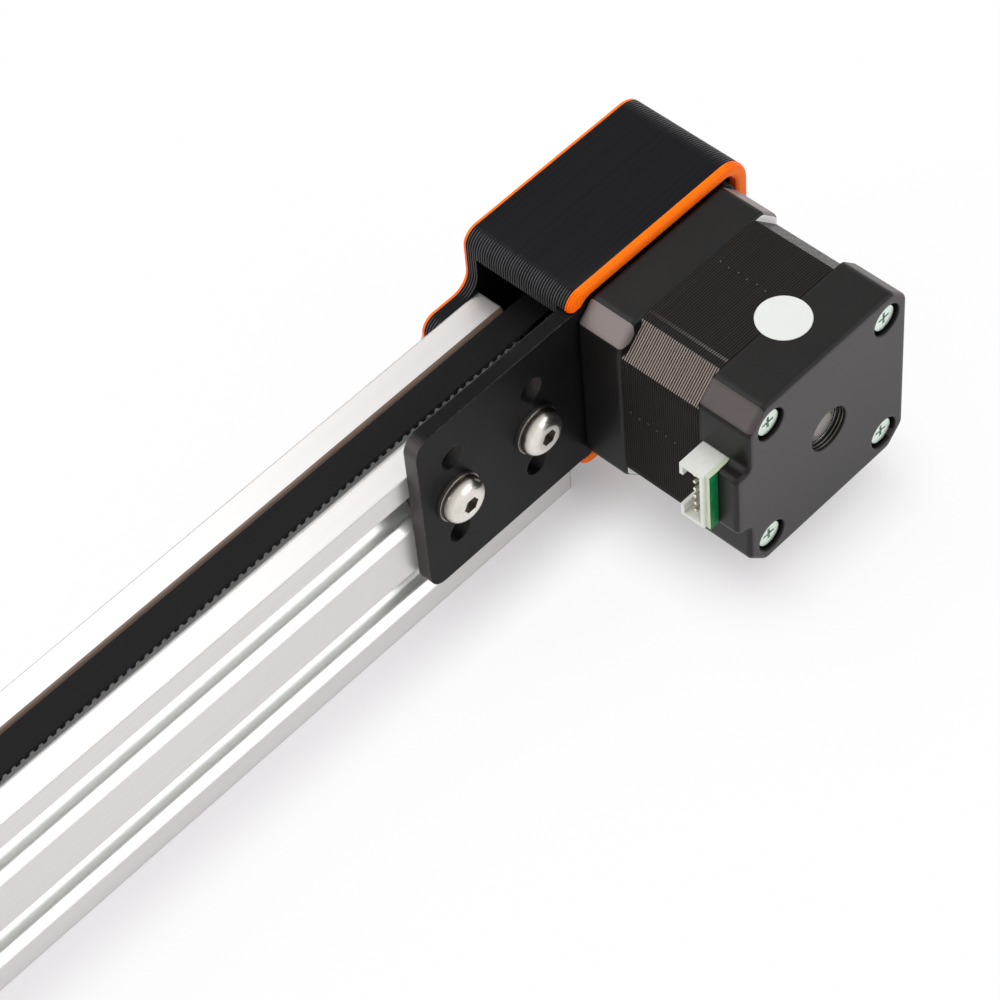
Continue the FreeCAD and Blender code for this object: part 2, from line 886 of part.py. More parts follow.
def build_rear_bell():
    body = new_body("motor_rear_bell")
    outline = new_sketch(body, "XZ_Plane", stack_back)
    chamfered_square(outline, size.motor_side, size.motor_chamfer)
    pad(body, outline, size.rear_bell_length)
    round_edges(body, size.bell_corner_round, lambda e: runs_along(e, (0, 1, 0)))
    shelf = new_sketch(body, "XZ_Plane", motor_back)
    side = size.motor_side / 2
    shelf_reach = side + size.shelf_reach
    shelf_half = size.shelf_half_height
    rectangle(shelf, -shelf_reach, size.over_cut - side, -shelf_half, shelf_half)
    pad(body, shelf, size.shelf_thickness, reverse=True)
    foot = (-shelf_reach, 0, -shelf_half)
    round_edges(body, size.shelf_foot_round, edge_at((0, 1, 0), foot))
    top = (-shelf_reach, 0, shelf_half)
    round_edges(body, size.shelf_top_round, edge_at((0, 1, 0), top))
    joints = [(-side, 0, z) for z in (-shelf_half, shelf_half)]
    round_edges(body, size.shelf_joint_round, edge_at((0, 1, 0), *joints))
    round_edges(body, size.bell_rim_round, rim_at(-motor_back))
    cavity = new_sketch(body, "XZ_Plane", stack_back)
    circle(cavity, 0, 0, size.bell_cavity_radius)
    circle(cavity, 0, 0, size.bearing_boss_radius)
    pocket(body, cavity, size.rear_bell_length - size.rear_bell_wall, reverse=True)
    seat = new_sketch(body, "XZ_Plane", stack_back)
    circle(seat, 0, 0, size.bearing_seat)
    pocket(body, seat, rear_bearing_face - stack_back, reverse=True)
    holes = new_sketch(body, "XZ_Plane", motor_back)
    circle(holes, 0, 0, size.rear_hole_radius)
    screw_corners(holes, size.small_hole_radius)
    pocket(body, holes)
    heads = new_sketch(body, "XZ_Plane", motor_back)
    screw_corners(heads, size.counterbore_radius)
    pocket(body, heads, size.counterbore_depth)
    window = new_sketch(body, "YZ_Plane", -side)
    half = size.connector_width / 2 + size.window_margin
    sill = size.connector_lift - half
    lintel = size.connector_lift + half
    shelf_face = size.shelf_thickness - motor_back
    rectangle(window, shelf_face, -stack_back - size.window_lip, sill, lintel)
    pocket(body, window, size.window_depth, reverse=True)
    node(at_motor(body), "motor_rear_bell")


def build_connector():
    """Board, housing and pins in the rear bell's side window."""
    side = size.motor_side / 2
    outer = -side - size.connector_reach
    front = stack_back + size.connector_setback
    back = front + size.connector_thickness
    half = size.connector_width / 2
    middle = size.axis_height + size.connector_lift
    wall = size.connector_wall
    body = new_body("connector_housing")
    outline = new_sketch(body, "XZ_Plane", front)
    rectangle(outline, outer, outer + size.connector_depth, -half, half)
    pad(body, outline, size.connector_thickness)
    hollow = new_sketch(body, "XZ_Plane", front + wall)
    mouth_depth = size.connector_depth - size.connector_base
    rectangle(hollow, outer, outer + mouth_depth, -half + wall, half - wall)
    pocket(body, hollow, size.connector_thickness - wall * 2, reverse=True)
    key = new_sketch(body, "XZ_Plane", front)
    rectangle(key, outer, outer + mouth_depth, -size.connector_key / 2, size.connector_key / 2)
    pocket(body, key, wall, reverse=True)
    pin_holes = new_sketch(body, "YZ_Plane", outer + size.connector_depth)
    pin_y = -(front + size.connector_thickness / 2)
    reach = size.pin_side / 2
    count = int(size.pin_count)
    rows = [size.pin_pitch * (i - (count - 1) / 2) for i in range(count)]
    for row in rows:
        rectangle(pin_holes, pin_y - reach, pin_y + reach, row - reach, row + reach)
    pocket(body, pin_holes, size.connector_base)
    node(place(body, motor_x, 0, middle), "connector_housing")
    pin = doc.addObject("Part::Box", "pin_source")
    bind(pin, "Length", size.connector_depth)
    bind(pin, "Width", size.pin_side)
    bind(pin, "Height", size.pin_side)
    start = motor_x + outer + size.pin_setback
    spots = [(pin, start, pin_y - reach, middle + row - reach) for row in rows]
    group("connector_pins", spots)
    board = doc.addObject("Part::Box", "connector_board")
    bind(board, "Length", size.connector_depth + size.board_setback)
    bind(board, "Width", size.board_thickness)
    bind(board, "Height", size.connector_width)
    foot = motor_x + outer + size.board_setback
    place(board, foot, -back - size.board_thickness, middle - half)
    node(board, "connector_board")


def build_motor_screws():
    half = size.screw_square / 2
    corners = [(x, z) for x in (-1, 1) for z in (-1, 1)]
    mount = small_screw(
        "mount_screw_source",
        size.mount_screw_length,
        size.small_head_radius,
        size.small_head_height,
    )
    facing = ((0, 0, 1), 180)
    spots = [
        (mount, motor_x + half * x, -half_width, size.axis_height + half * z, *facing)
        for x, z in corners
    ]
    group("motor_mount_screws", spots)
    length = motor_back - size.counterbore_depth - motor_face - size.through_screw_stop
    through = small_screw(
        "through_screw_source",
        length,
        size.rear_screw_head_radius,
        size.rear_screw_head_height,
        cross=True,
    )
    seat = -motor_back + size.counterbore_depth
    spots = [
        (through, motor_x + half * x, seat, size.axis_height + half * z) for x, z in corners
    ]
    group("motor_through_screws", spots)


def build_rotor():
    shaft = new_body("motor_shaft")
    outline = new_sketch(shaft, "XZ_Plane", -size.shaft_front)
    circle(outline, 0, 0, size.shaft_radius)
    pad(shaft, outline, size.shaft_front + motor_back - size.shaft_inset)
    flat = new_sketch(shaft, "XZ_Plane", -size.shaft_front)
    top = size.shaft_radius + size.over_cut
    level = size.shaft_radius - size.shaft_flat
    rectangle(flat, -top, top, level, top)
    pocket(shaft, flat, size.shaft_flat_length, reverse=True)
    node(at_motor(shaft), "motor_shaft")
    core = ring_solid(
        "core_source", size.rotor_radius, size.shaft_radius + size.snug_gap, size.rotor_core_length
    )
    magnet = ring_solid(
        "magnet_source", size.magnet_radius, size.shaft_radius + size.snug_gap, size.magnet_length
    )
    middle = stack_front + size.stack_length / 2
    half_magnet = size.magnet_length / 2
    along_y = ((1, 0, 0), 90)
    first = -middle + half_magnet + size.rotor_core_length
    second = -middle - half_magnet
    group(
        "rotor_cores",
        [(core, motor_x, y, size.axis_height, *along_y) for y in (first, second)],
    )
    group("rotor_magnet", [(magnet, motor_x, -middle + half_magnet, size.axis_height, *along_y)])


def build_bearings(shell, inner_ring):
    along_y = ((1, 0, 0), 90)
    half = size.bearing_width / 2
    motor_spots = [-front_bearing_face - half, half - rear_bearing_face]
    idler_spots = [(half + size.shim_thickness / 2) * side for side in (-1, 1)]
    for label, x, spots in (
        ("motor_bearing", motor_x, motor_spots),
        ("idler_bearing", idler_x, idler_spots),
    ):
        shells = [(shell, x, y, size.axis_height, *along_y) for y in spots]
        group(f"{label}_shells", shells)
        rings = [(inner_ring, x, y + half, size.axis_height, *along_y) for y in spots]
        group(f"{label}_inner_rings", rings)


# Drive pulley and idler wheel


def build_drive_pulley():
    body = new_body("drive_pulley")
    face = size.pulley_face / 2
    flange = face + size.pulley_flange
    rim = land_radius - size.mesh_clearance
    bore = size.shaft_radius + size.snug_gap
    outline = new_sketch(body, "XY_Plane")
    hub_end = flange + size.hub_length
    polygon(
        outline,
        [
            (bore, -flange),
            (size.flange_radius, -flange),
            (size.flange_radius, size.flange_rim - flange),
            (rim, -face),
            (rim, face),
            (size.flange_radius, flange - size.flange_rim),
            (size.flange_radius, flange),
            (size.hub_radius, flange),
            (size.hub_radius, hub_end),
            (bore, hub_end),
        ],
    )
    revolve(body, outline)
    groove = new_sketch(body, "XZ_Plane")
    mouth = size.belt_tooth_root / 2 + size.mesh_side_gap
    floor = size.belt_tooth_tip / 2 + size.mesh_side_gap
    top = land_radius + size.over_cut
    right = [(mouth, top), (mouth, land_radius), (floor, tip_radius - size.mesh_floor_gap)]
    polygon(groove, right + [(-x, z) for x, z in reversed(right)])
    cut = pocket(body, groove, size.pulley_face, symmetric=True)
    polar(body, cut, groove, size.pulley_teeth)
    hub_middle = flange + size.hub_length / 2
    for role, spot in (("XY_Plane", (0, hub_middle)), ("YZ_Plane", (hub_middle, 0))):
        hole = new_sketch(body, role)
        circle(hole, *spot, size.small_thread_radius)
        body.Tip = pocket(body, hole, size.hub_radius + size.over_cut, reverse=True)
    node(at_motor(body), "drive_pulley")
    screw = new_body("set_screw_source")
    shank = new_sketch(screw, "XY_Plane")
    circle(shank, 0, 0, size.small_screw_radius)
    pad(screw, shank, size.set_screw_length)
    socket = new_sketch(screw, "XY_Plane", size.set_screw_length)
    hexagon(socket, size.set_screw_hex)
    pocket(screw, socket, size.small_recess)
    flat = size.shaft_radius - size.shaft_flat + size.close_gap
    side = size.shaft_radius + size.close_gap
    spots = [
        (screw, motor_x, hub_middle, size.axis_height + flat),
        (screw, motor_x + side, hub_middle, size.axis_height, (0, 1, 0), 90),
    ]
    group("pulley_set_screws", spots)


def build_idler():
    wheel = new_body("idler_wheel")
    half = size.idler_width / 2
    lip = size.shim_thickness / 2
    face = size.pulley_face / 2
    tread = tip_radius - size.mesh_clearance
    outline = new_sketch(wheel, "XY_Plane")
    right = [
        (size.seat_lip_radius, lip),
        (size.bearing_seat, lip),
        (size.bearing_seat, half),
        (size.flange_radius, half),
        (size.flange_radius, half - size.pulley_flange),
        (tread, face),
    ]
    polygon(outline, right + [(r, -y) for r, y in reversed(right)])
    revolve(wheel, outline)
    place(wheel, idler_x, 0, size.axis_height)
    node(wheel, "idler_wheel")
    bolt = button_screw("idler_bolt", size.idler_bolt_length)
    place(bolt, idler_x, -motor_face, size.axis_height)
    node(bolt, "idler_bolt")
    nut = lock_nut("idler_nut")
    place(nut, idler_x, motor_face, size.axis_height, (1, 0, 0), -90)
    node(nut, "idler_nut")
    gap = half_width - bearing_stack / 2
    spacer = ring_solid("idler_spacer_source", size.shim_radius, size.bearing_bore, gap)
    shim = ring_solid(
        "idler_shim_source", size.shim_radius, size.bearing_bore, size.shim_thickness
    )
    along_y = ((1, 0, 0), 90)
    spots = [(spacer, idler_x, y, size.axis_height, *along_y)
             for y in (half_width, -bearing_stack / 2)]
    spots.append((shim, idler_x, size.shim_thickness / 2, size.axis_height, *along_y))
    group("idler_spacers", spots)


# Carriage

half_base = size.wheel_base / 2
half_track = size.wheel_track / 2
wheel_places = {
    "motor_near": (half_base, -half_track),
    "idler_near": (-half_base, -half_track),
    "motor_far": (half_base, half_track),
    "idler_far": (-half_base, half_track),
}


def build_gantry_plate():
    body = new_body("gantry_plate")
    half_x = size.carriage_length / 2
    half_y = size.carriage_width / 2
    outline = new_sketch(body, "XY_Plane", carriage_under)
    rectangle(outline, -half_x, half_x, -half_y, half_y)
    pad(body, outline, size.plate_thickness)
    round_edges(body, size.carriage_corner, lambda e: runs_along(e, (0, 0, 1)))
    holes = new_sketch(body, "XY_Plane", carriage_under)
    for x, y in wheel_places.values():
        seat = size.eccentric_boss_radius + size.close_gap
        circle(holes, x, y, seat if y > 0 else size.bolt_hole_radius)
    slot_half = size.belt_slot_width / 2
    for side in (-1, 1):
        for other in (-1, 1):
            payload = (size.payload_x / 2 * side, size.payload_y / 2 * other)
            circle(holes, *payload, size.payload_hole_radius)
            screw = (size.clamp_centre * side, size.clamp_screw_spacing / 2 * other)
            circle(holes, *screw, size.small_thread_radius)
        inner = (size.belt_exit - size.belt_slot_lead) * side
        outer = (size.belt_exit + belt_curl + size.bolt_gap) * side
        rectangle(holes, min(inner, outer), max(inner, outer), -slot_half, slot_half)
    pocket(body, holes)
    node(body, "gantry_plate")


def build_wheels(shell):
    profile_flat = size.slot_mouth / 2 + (half_track - half_width) - size.wheel_gap
    for name, (x, y) in wheel_places.items():
        wheel = new_body(f"wheel_{name}")
        outline = new_sketch(wheel, "XZ_Plane")
        half = size.wheel_width / 2
        lip = size.shim_thickness / 2
        right = [
            (size.seat_lip_radius, lip),
            (size.bearing_seat, lip),
            (size.bearing_seat, half),
            (profile_flat - half, half),
            (size.wheel_radius, profile_flat - size.wheel_radius),
        ]
        polygon(outline, right + [(r, -z) for r, z in reversed(right)])
        revolve(wheel, outline)
        place(wheel, x, y, size.axis_height)
        node(wheel, f"wheel_{name}")
        middle = (size.bearing_width + size.shim_thickness) / 2
        spots = [(shell, x, y, size.axis_height + middle * side) for side in (-1, 1)]
        group(f"wheel_{name}_bearing_shells", spots)


def build_wheel_hardware(inner_ring):
    bolt = button_screw("wheel_bolt_source", size.wheel_bolt_length)
    nut = lock_nut("wheel_nut_source")
    shim = ring_solid("shim_source", size.shim_radius, size.bearing_bore, size.shim_thickness)
    spacer = ring_solid(
        "spacer_source", size.spacer_radius, size.bolt_radius + size.bolt_gap, size.spacer_length
    )
    eccentric = new_body("eccentric_source")
    flats = new_sketch(eccentric, "XY_Plane")
    hexagon(flats, size.eccentric_across)
    circle(flats, 0, 0, size.bolt_radius + size.bolt_gap)
    pad(eccentric, flats, size.spacer_length)
    boss = new_sketch(eccentric, "XY_Plane", size.spacer_length)
    circle(boss, 0, 0, size.eccentric_boss_radius)
    circle(boss, 0, 0, size.bolt_radius + size.bolt_gap)
    pad(eccentric, boss, size.eccentric_boss_height)
    stack_foot = stack_top - bearing_stack
    head_down = ((1, 0, 0), -90)
    flip = ((1, 0, 0), 180)
    bolts = []
    nuts = []
    shims = []
    rings = []
    for x, y in wheel_places.values():
        bolts.append((bolt, x, y, carriage_top, *head_down))
        nuts.append((nut, x, y, stack_foot, *flip))
        rings.append((inner_ring, x, y, stack_foot))
        rings.append((inner_ring, x, y, stack_top - size.bearing_width))
        shims.append((shim, x, y, stack_foot + size.bearing_width))
        shims.append((shim, x, y, stack_top))
    group("wheel_bolts", bolts)
    group("wheel_nuts", nuts)
    group("wheel_bearing_inner_rings", rings)
    group("wheel_shims", shims)
    lift = stack_top + size.shim_thickness
    near = [(spacer, x, y, lift) for x, y in wheel_places.values() if y < 0]
    far = [(eccentric, x, y, lift) for x, y in wheel_places.values() if y > 0]
    group("wheel_spacers", near)
    group("eccentric_spacers", far)


# The belt's two ends leave the strand, curl round the plate's slot edge and lie back on top of
# the plate with their teeth up, under a clamp.

strand_back = size.axis_height + back_radius
belt_curl = (carriage_top - strand_back) / 2 + size.belt_body / 2


def build_belt_ends():
    body_half = float(size.belt_body) / 2
    curl = float(belt_curl)
    exit_x = float(size.belt_exit)
    low = float(strand_back)
    centre = FreeCAD.Vector(exit_x + curl, 0, low - body_half + curl)
    tail_end = centre.x + float(size.belt_tail)
    forward = FreeCAD.Vector(1, 0, 0)
    up = FreeCAD.Vector(0, 0, 1)
    outer = curl + body_half
    inner = curl - body_half
    foot_outer = math.acos((centre.z - low) / outer)
    foot_inner = math.acos((centre.z - low) / inner)

    def on_arc(radius, turn):
        return centre - up * (radius * math.cos(turn)) - forward * (radius * math.sin(turn))

    def arc_edge(radius, start, end):
        points = [on_arc(radius, t) for t in (start, (start + end) / 2, end)]
        return Part.Arc(*points).toShape()

    pitch = float(size.tooth_pitch)
    line = []
    step = pitch / outer
    lead = float(size.tail_lead)
    last_turn = math.pi - (1 - lead) * step
    for i in reversed(range(int((last_turn - foot_outer) / step))):
        turn = last_turn - i * step
        out = (on_arc(outer, turn) - centre).normalize()
        along = FreeCAD.Vector(-out.z, 0, out.x) * -1
        line += tooth_points(on_arc(outer, turn), along, out)
    top = centre + up * outer
    for i in range(int(float(size.belt_tail) / pitch)):
        line += tooth_points(top + forward * ((i + lead) * pitch), forward, up)
    ends = [FreeCAD.Vector(tail_end, 0, top.z), FreeCAD.Vector(tail_end, 0, top.z - body_half * 2)]
    outline = [on_arc(outer, foot_outer)] + line + ends
    edges = [Part.LineSegment(a, b).toShape() for a, b in zip(outline, outline[1:])]
    edges.append(Part.LineSegment(ends[1], on_arc(inner, math.pi)).toShape())
    edges.append(arc_edge(inner, math.pi, foot_inner))
    edges.append(Part.LineSegment(on_arc(inner, foot_inner), outline[0]).toShape())
    face = Part.Face(Part.Wire(edges))
    width = float(size.belt_width)
    face.translate(FreeCAD.Vector(0, -width / 2, 0))
    end = face.extrude(FreeCAD.Vector(0, width, 0))
    source = doc.addObject("Part::Feature", "belt_end_source")
    source.Shape = end
    group("belt_ends", [(source, 0, 0, 0), (source, 0, 0, 0, (0, 0, 1), 180)])


def build_belt_clamps():
    clamp = new_body("clamp_source")
    half_x = size.clamp_length / 2
    half_y = size.clamp_width / 2
    channel = size.belt_width / 2 + size.free_gap
    roof = size.belt_body + size.belt_tooth_height + size.close_gap
    profile = new_sketch(clamp, "YZ_Plane")
    right = [(half_y, 0), (half_y, size.clamp_height)]
    left = [(-y, z) for y, z in reversed(right)]
    inside = [(-channel, 0), (-channel, roof), (channel, roof), (channel, 0)]
    polygon(profile, right + left + inside)
    pad(clamp, profile, size.clamp_length, symmetric=True)
    ends = [(s * half_x, s2 * half_y, 0) for s in (-1, 1) for s2 in (-1, 1)]
    round_edges(clamp, size.clamp_corner, edge_at((0, 0, 1), *ends))
    holes = new_sketch(clamp, "XY_Plane")
    for side in (-1, 1):
        circle(holes, 0, size.clamp_screw_spacing / 2 * side, size.small_hole_radius)
    pocket(clamp, holes)
    screw = small_screw(
        "clamp_screw_source",
        size.clamp_screw_length,
        size.small_head_radius,
        size.small_head_height,
    )
    top = carriage_top + size.clamp_height
    clamps = []
    screws = []
    for side in (-1, 1):
        x = size.clamp_centre * side
        clamps.append((clamp, x, 0, carriage_top))
        for other in (-1, 1):
            y = size.clamp_screw_spacing / 2 * other
            screws.append((screw, x, y, top, (1, 0, 0), -90))
    group("belt_clamps", clamps)
    group("belt_clamp_screws", screws)


# Drive cover: a tray over the pulley, open towards the motor plate and the rail


def build_drive_cover():
    body = new_body("drive_cover")
    front = -size.cover_front
    back = size.cover_back
    half = size.cover_half_height
    depth = motor_face * 2
    outline = new_sketch(body, "XZ_Plane", -motor_face)
    rectangle(outline, front, back, -half, half)
    pad(body, outline, depth)
    corners = [(front, 0, z) for z in (-half, half)]
    round_edges(body, size.cover_front_round, edge_at((0, 1, 0), *corners))
    corners = [(back, 0, z) for z in (-half, half)]
    round_edges(body, size.cover_back_round, edge_at((0, 1, 0), *corners))
    hollow = new_sketch(body, "XZ_Plane", motor_face)
    roof = half - size.cover_roof
    inner_back = back - size.cover_end_wall
    inner_front = front + size.cover_roof
    rectangle(hollow, inner_front, inner_back, -roof, roof)
    pocket(body, hollow, depth - size.cover_wall)
    corners = [(x, 0, z) for x in (inner_front, inner_back) for z in (-roof, roof)]
    round_edges(body, size.cover_inner_round, edge_at((0, 1, 0), *corners))
    round_edges(body, size.cover_rim_round, rim_at(-motor_face))
    mouth = new_sketch(body, "XZ_Plane", motor_face)
    lip = size.cover_mouth_half
    rectangle(mouth, front - size.over_cut, inner_front + size.over_cut, -lip, lip)
    pocket(body, mouth, depth - size.cover_wall)
    plate_notch = new_sketch(body, "XZ_Plane", motor_face)
    notch = size.plate_height / 2 + size.free_gap
    notch_back = inner_front + size.cover_inner_round
    rectangle(plate_notch, front - size.over_cut, notch_back, -notch, notch)
    pocket(body, plate_notch, size.plate_thickness + size.free_gap)
    tab = new_sketch(body, "XZ_Plane", -motor_face)
    tab_half = size.row_spacing
    tip = -size.cover_tab_reach
    rectangle(tab, tip, front + size.over_cut, -tab_half, tab_half)
    pad(body, tab, size.cover_wall)
    corners = [(tip, 0, z) for z in (-tab_half, tab_half)]
    round_edges(body, size.cover_tab_round, edge_at((0, 1, 0), *corners))
    corners = [(front, 0, z) for z in (-tab_half, tab_half)]
    round_edges(body, size.cover_joint_round, edge_at((0, 1, 0), *corners))
    hole = new_sketch(body, "XZ_Plane", -motor_face)
    circle(hole, -size.cover_screw, 0, size.bolt_hole_radius)
    pocket(body, hole)
    node(at_motor(body), "drive_cover")


def check_document():
    """Every object is sound, every cut removes something and every sub-part is whole."""
    for thing in doc.Objects:
        if {"Invalid", "Error"} & set(thing.State):
            raise RuntimeError(f"{thing.Label} failed: {thing.State}")
        if thing.TypeId == "PartDesign::Pocket":
            if thing.Shape.Volume > thing.BaseFeature.Shape.Volume - hair:
                raise RuntimeError(f"{thing.Label} cuts nothing")
    for thing in nodes:
        if thing.Shape.isNull() or not thing.Shape.isValid() or not thing.Shape.Solids:
            raise RuntimeError(f"{thing.Label} has no sound solid")


def export_nodes():
    os.makedirs("parts", exist_ok=True)
    for thing in nodes:
        thing.Shape.exportStep(f"parts/{thing.Label}.step")
        box = thing.Shape.BoundBox
        print(f"{thing.Label}: {len(thing.Shape.Solids)} solids, {thing.Shape.Volume:.0f} mm3,"
              f" X {box.XMin:.1f} {box.XMax:.1f} Y {box.YMin:.1f} {box.YMax:.1f}"
              f" Z {box.ZMin:.1f} {box.ZMax:.1f}")


build_rail()
build_belt()
build_end_plates()
build_rail_hardware()
build_drive_cover()
build_front_bell()
build_stator()
build_windings()
build_rear_bell()
build_connector()
build_motor_screws()
build_rotor()
shell_source = bearing_shell("bearing_shell_source")
inner_ring_source = ring_solid(
    "inner_ring_source", size.bearing_inner_ring, size.bearing_bore, size.bearing_width
)
build_bearings(shell_source, inner_ring_source)
build_drive_pulley()
build_idler()
build_gantry_plate()
build_wheels(shell_source)
build_wheel_hardware(inner_ring_source)
build_belt_ends()
build_belt_clamps()
doc.recompute()
check_document()
export_nodes()
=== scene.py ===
import math

import bmesh
import bpy
from mathutils import Matrix, Vector


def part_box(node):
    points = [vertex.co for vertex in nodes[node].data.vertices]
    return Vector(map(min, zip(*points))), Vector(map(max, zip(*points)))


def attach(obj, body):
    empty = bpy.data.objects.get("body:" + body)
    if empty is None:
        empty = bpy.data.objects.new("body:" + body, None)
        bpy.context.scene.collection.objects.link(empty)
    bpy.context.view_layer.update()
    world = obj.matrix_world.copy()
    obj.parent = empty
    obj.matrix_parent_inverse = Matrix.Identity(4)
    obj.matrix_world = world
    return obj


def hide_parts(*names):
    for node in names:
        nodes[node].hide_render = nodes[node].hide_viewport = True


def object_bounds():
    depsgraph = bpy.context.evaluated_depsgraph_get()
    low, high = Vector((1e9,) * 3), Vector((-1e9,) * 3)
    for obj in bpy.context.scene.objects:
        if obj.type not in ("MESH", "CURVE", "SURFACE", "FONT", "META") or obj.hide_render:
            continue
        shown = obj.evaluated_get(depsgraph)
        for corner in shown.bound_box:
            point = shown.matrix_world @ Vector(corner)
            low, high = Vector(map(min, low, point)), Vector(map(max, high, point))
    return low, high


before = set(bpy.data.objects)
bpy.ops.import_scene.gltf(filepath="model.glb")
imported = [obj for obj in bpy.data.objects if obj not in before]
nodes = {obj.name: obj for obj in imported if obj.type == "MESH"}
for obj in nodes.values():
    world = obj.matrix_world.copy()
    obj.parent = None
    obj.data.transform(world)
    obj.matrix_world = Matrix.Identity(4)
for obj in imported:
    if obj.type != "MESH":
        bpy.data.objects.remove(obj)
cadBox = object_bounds()
axisY = Vector((0, 1, 0))
axisZ = Vector((0, 0, 1))
fullTurn = 2 * math.pi


def middleOf(name):
    low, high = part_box(name)
    return (low + high) / 2


motorAxis = middleOf("motor_shaft")
axleHeight = motorAxis.z
print("frame loaded,", len(nodes), "nodes")


# Shader sockets that take part in plain expressions
class Sock:
    def __init__(self, tree, out=None):
        self.tree = tree
        self.out = out

    def add(self, kind, settings=None, inputs=None, output=0):
        made = self.tree.nodes.new(kind)
        for name, value in (settings or {}).items():
            setattr(made, name, value)
        for key, value in (inputs or {}).items():
            if isinstance(value, Sock):
                self.tree.links.new(value.out, made.inputs[key])
            else:
                made.inputs[key].default_value = value
        return Sock(self.tree, made.outputs[output] if made.outputs else None)

    def math(self, operation, *values):
        return self.add("ShaderNodeMath", {"operation": operation}, dict(enumerate(values)))

    def __add__(self, other):
        return self.math("ADD", self, other)

    def __sub__(self, other):
        return self.math("SUBTRACT", self, other)

    def __rsub__(self, other):
        return self.math("SUBTRACT", other, self)

    def __mul__(self, other):
        return self.math("MULTIPLY", self, other)

    def __truediv__(self, other):
        return self.math("DIVIDE", self, other)

    def __gt__(self, other):
        return self.math("GREATER_THAN", self, other)

    def __lt__(self, other):
        return self.math("LESS_THAN", self, other)

    def __abs__(self):
        return self.math("ABSOLUTE", self)

    __radd__ = __add__
    __rmul__ = __mul__


# Limits that the finishes share
noiseBand = (0.3, 0.7)  # most of a noise's values
edgeBand = (0.02, 0.25)  # lean of a rounded normal, from face to edge
squareOn = 0.9  # share of a normal along an axis, for a face square to it
noiseDetail = 3.0
fineRough = 0.6
edgeSamples = 4
openSamples = 6


def startMaterial(name):
    made = bpy.data.materials.new(name)
    made.use_nodes = True
    made.node_tree.nodes.clear()
    return made, Sock(made.node_tree)


def finishTree(graph, shader, kind):
    graph.add(kind, inputs={0: shader})


def closeMaterial(made, graph, colour, roughness, normal, metallic=0.0, specular=0.5):
    shader = graph.add("ShaderNodeBsdfPrincipled", {}, {
        "Base Color": colour, "Roughness": roughness, "Normal": normal,
        "Metallic": metallic, "Specular IOR Level": specular})
    finishTree(graph, shader, "ShaderNodeOutputMaterial")
    return made


def objectPoint(graph):
    return graph.add("ShaderNodeTexCoord", output="Object")


def faceNormal(graph):
    return graph.add("ShaderNodeNewGeometry", output="True Normal")


def splitUp(vector):
    made = vector.add("ShaderNodeSeparateXYZ", inputs={0: vector})
    return [Sock(vector.tree, out) for out in made.out.node.outputs]


def stretched(vector, factors):
    return vector.add("ShaderNodeVectorMath", {"operation": "MULTIPLY"}, {0: vector, 1: factors})


def dotted(first, second):
    return first.add("ShaderNodeVectorMath", {"operation": "DOT_PRODUCT"},
                     {0: first, 1: second}, output="Value")


def noise(vector, scale=1.0, detail=2.0, rough=0.5):
    return vector.add("ShaderNodeTexNoise", {"noise_dimensions": "3D"},
                      {"Vector": vector, "Scale": scale, "Detail": detail, "Roughness": rough})


def fineNoise(vector, scale=1.0):
    return noise(vector, scale, noiseDetail, fineRough)


def cloudNoise(vector, scale):
    return noise(vector, scale, noiseDetail)


# A random number for each whole step of a value
def numberOf(value):
    return value.add("ShaderNodeTexWhiteNoise", {"noise_dimensions": "1D"},
                     {"W": value.math("FLOOR", value)})


# From nought at the low limit to one at the high one
def spread(value, low, high, ramp="LINEAR"):
    return value.add("ShaderNodeMapRange", {"clamp": True, "interpolation_type": ramp},
                     {0: value, 1: low, 2: high, 3: 0.0, 4: 1.0})


# A share of one value and the rest of another
def shared(first, second, share):
    return first * share + second * (1 - share)


def paint(colour):
    return colour if isinstance(colour, Sock) else (*colour, 1.0)


def blendColours(factor, first, second):
    return factor.add("ShaderNodeMix", {"data_type": "RGBA", "clamp_factor": True},
                      {0: factor, 6: paint(first), 7: paint(second)}, output=2)


def relief(height, strengthAndDepth, base=None):
    strength, depth = strengthAndDepth
    inputs = {"Height": height, "Strength": strength, "Distance": depth}
    if base is not None:
        inputs["Normal"] = base
    return height.add("ShaderNodeBump", {}, inputs)


def softEdge(graph, radius):
    return graph.add("ShaderNodeBevel", {"samples": edgeSamples}, {"Radius": radius})


# One along a rounded edge, nought on the faces beside it
def edgeMask(graph, rounded):
    return spread(1 - dotted(rounded, faceNormal(graph)), *edgeBand)


# One in the open, less in sockets and under heads
def openness(graph, reach):
    return graph.add("ShaderNodeAmbientOcclusion", {"samples": openSamples}, {"Distance": reach},
                     output="AO")


def dress(material, *names):
    for name in names:
        slots = nodes[name].data.materials
        slots.clear()
        slots.append(material)


# Anodised rail: fine lines along the draw direction, saw marks on the cut ends
railLook = {
    "dull": (0.66, 0.64, 0.63), "bright": (0.74, 0.72, 0.71), "metallic": 0.7,
    "lines": (6.0, 1100.0, 1100.0), "clouds": (9.0, 60.0, 60.0), "lineShare": 0.5,
    "roughness": 0.33, "lineRough": 0.06, "relief": (0.06, 0.00003),
    "sawPitch": 0.0009, "sawCentre": -0.09, "sawNoise": 400.0, "sawWander": 3.0,
    # Dark edge lines: painted reflection
    "edge": 0.0005, "edgeDarkReflection": (0.34, 0.31, 0.295),
    # Paler slot insides: painted light
    "inner": (0.88, 0.885, 0.87), "innerWidth": 0.0097, "innerTop": 0.0397,
    "innerMetallic": 0.5, "innerGloss": 0.12,
    "topSlot": 0.033, "mouth": (0.00458, 0.0050), "mouthGain": 3.0,
    # White at the belt's slot and far lip: painted light and a painted highlight; dark near lip: painted
    # reflection
    "paintedMouthLight": (0.95, 0.95, 0.95), "nearLipDarkReflection": (0.13, 0.11, 0.10),
    "beltShadeReflection": (0.235, 0.168, 0.130), "beltFar": 0.0030, "beltFloor": 0.0381,
}


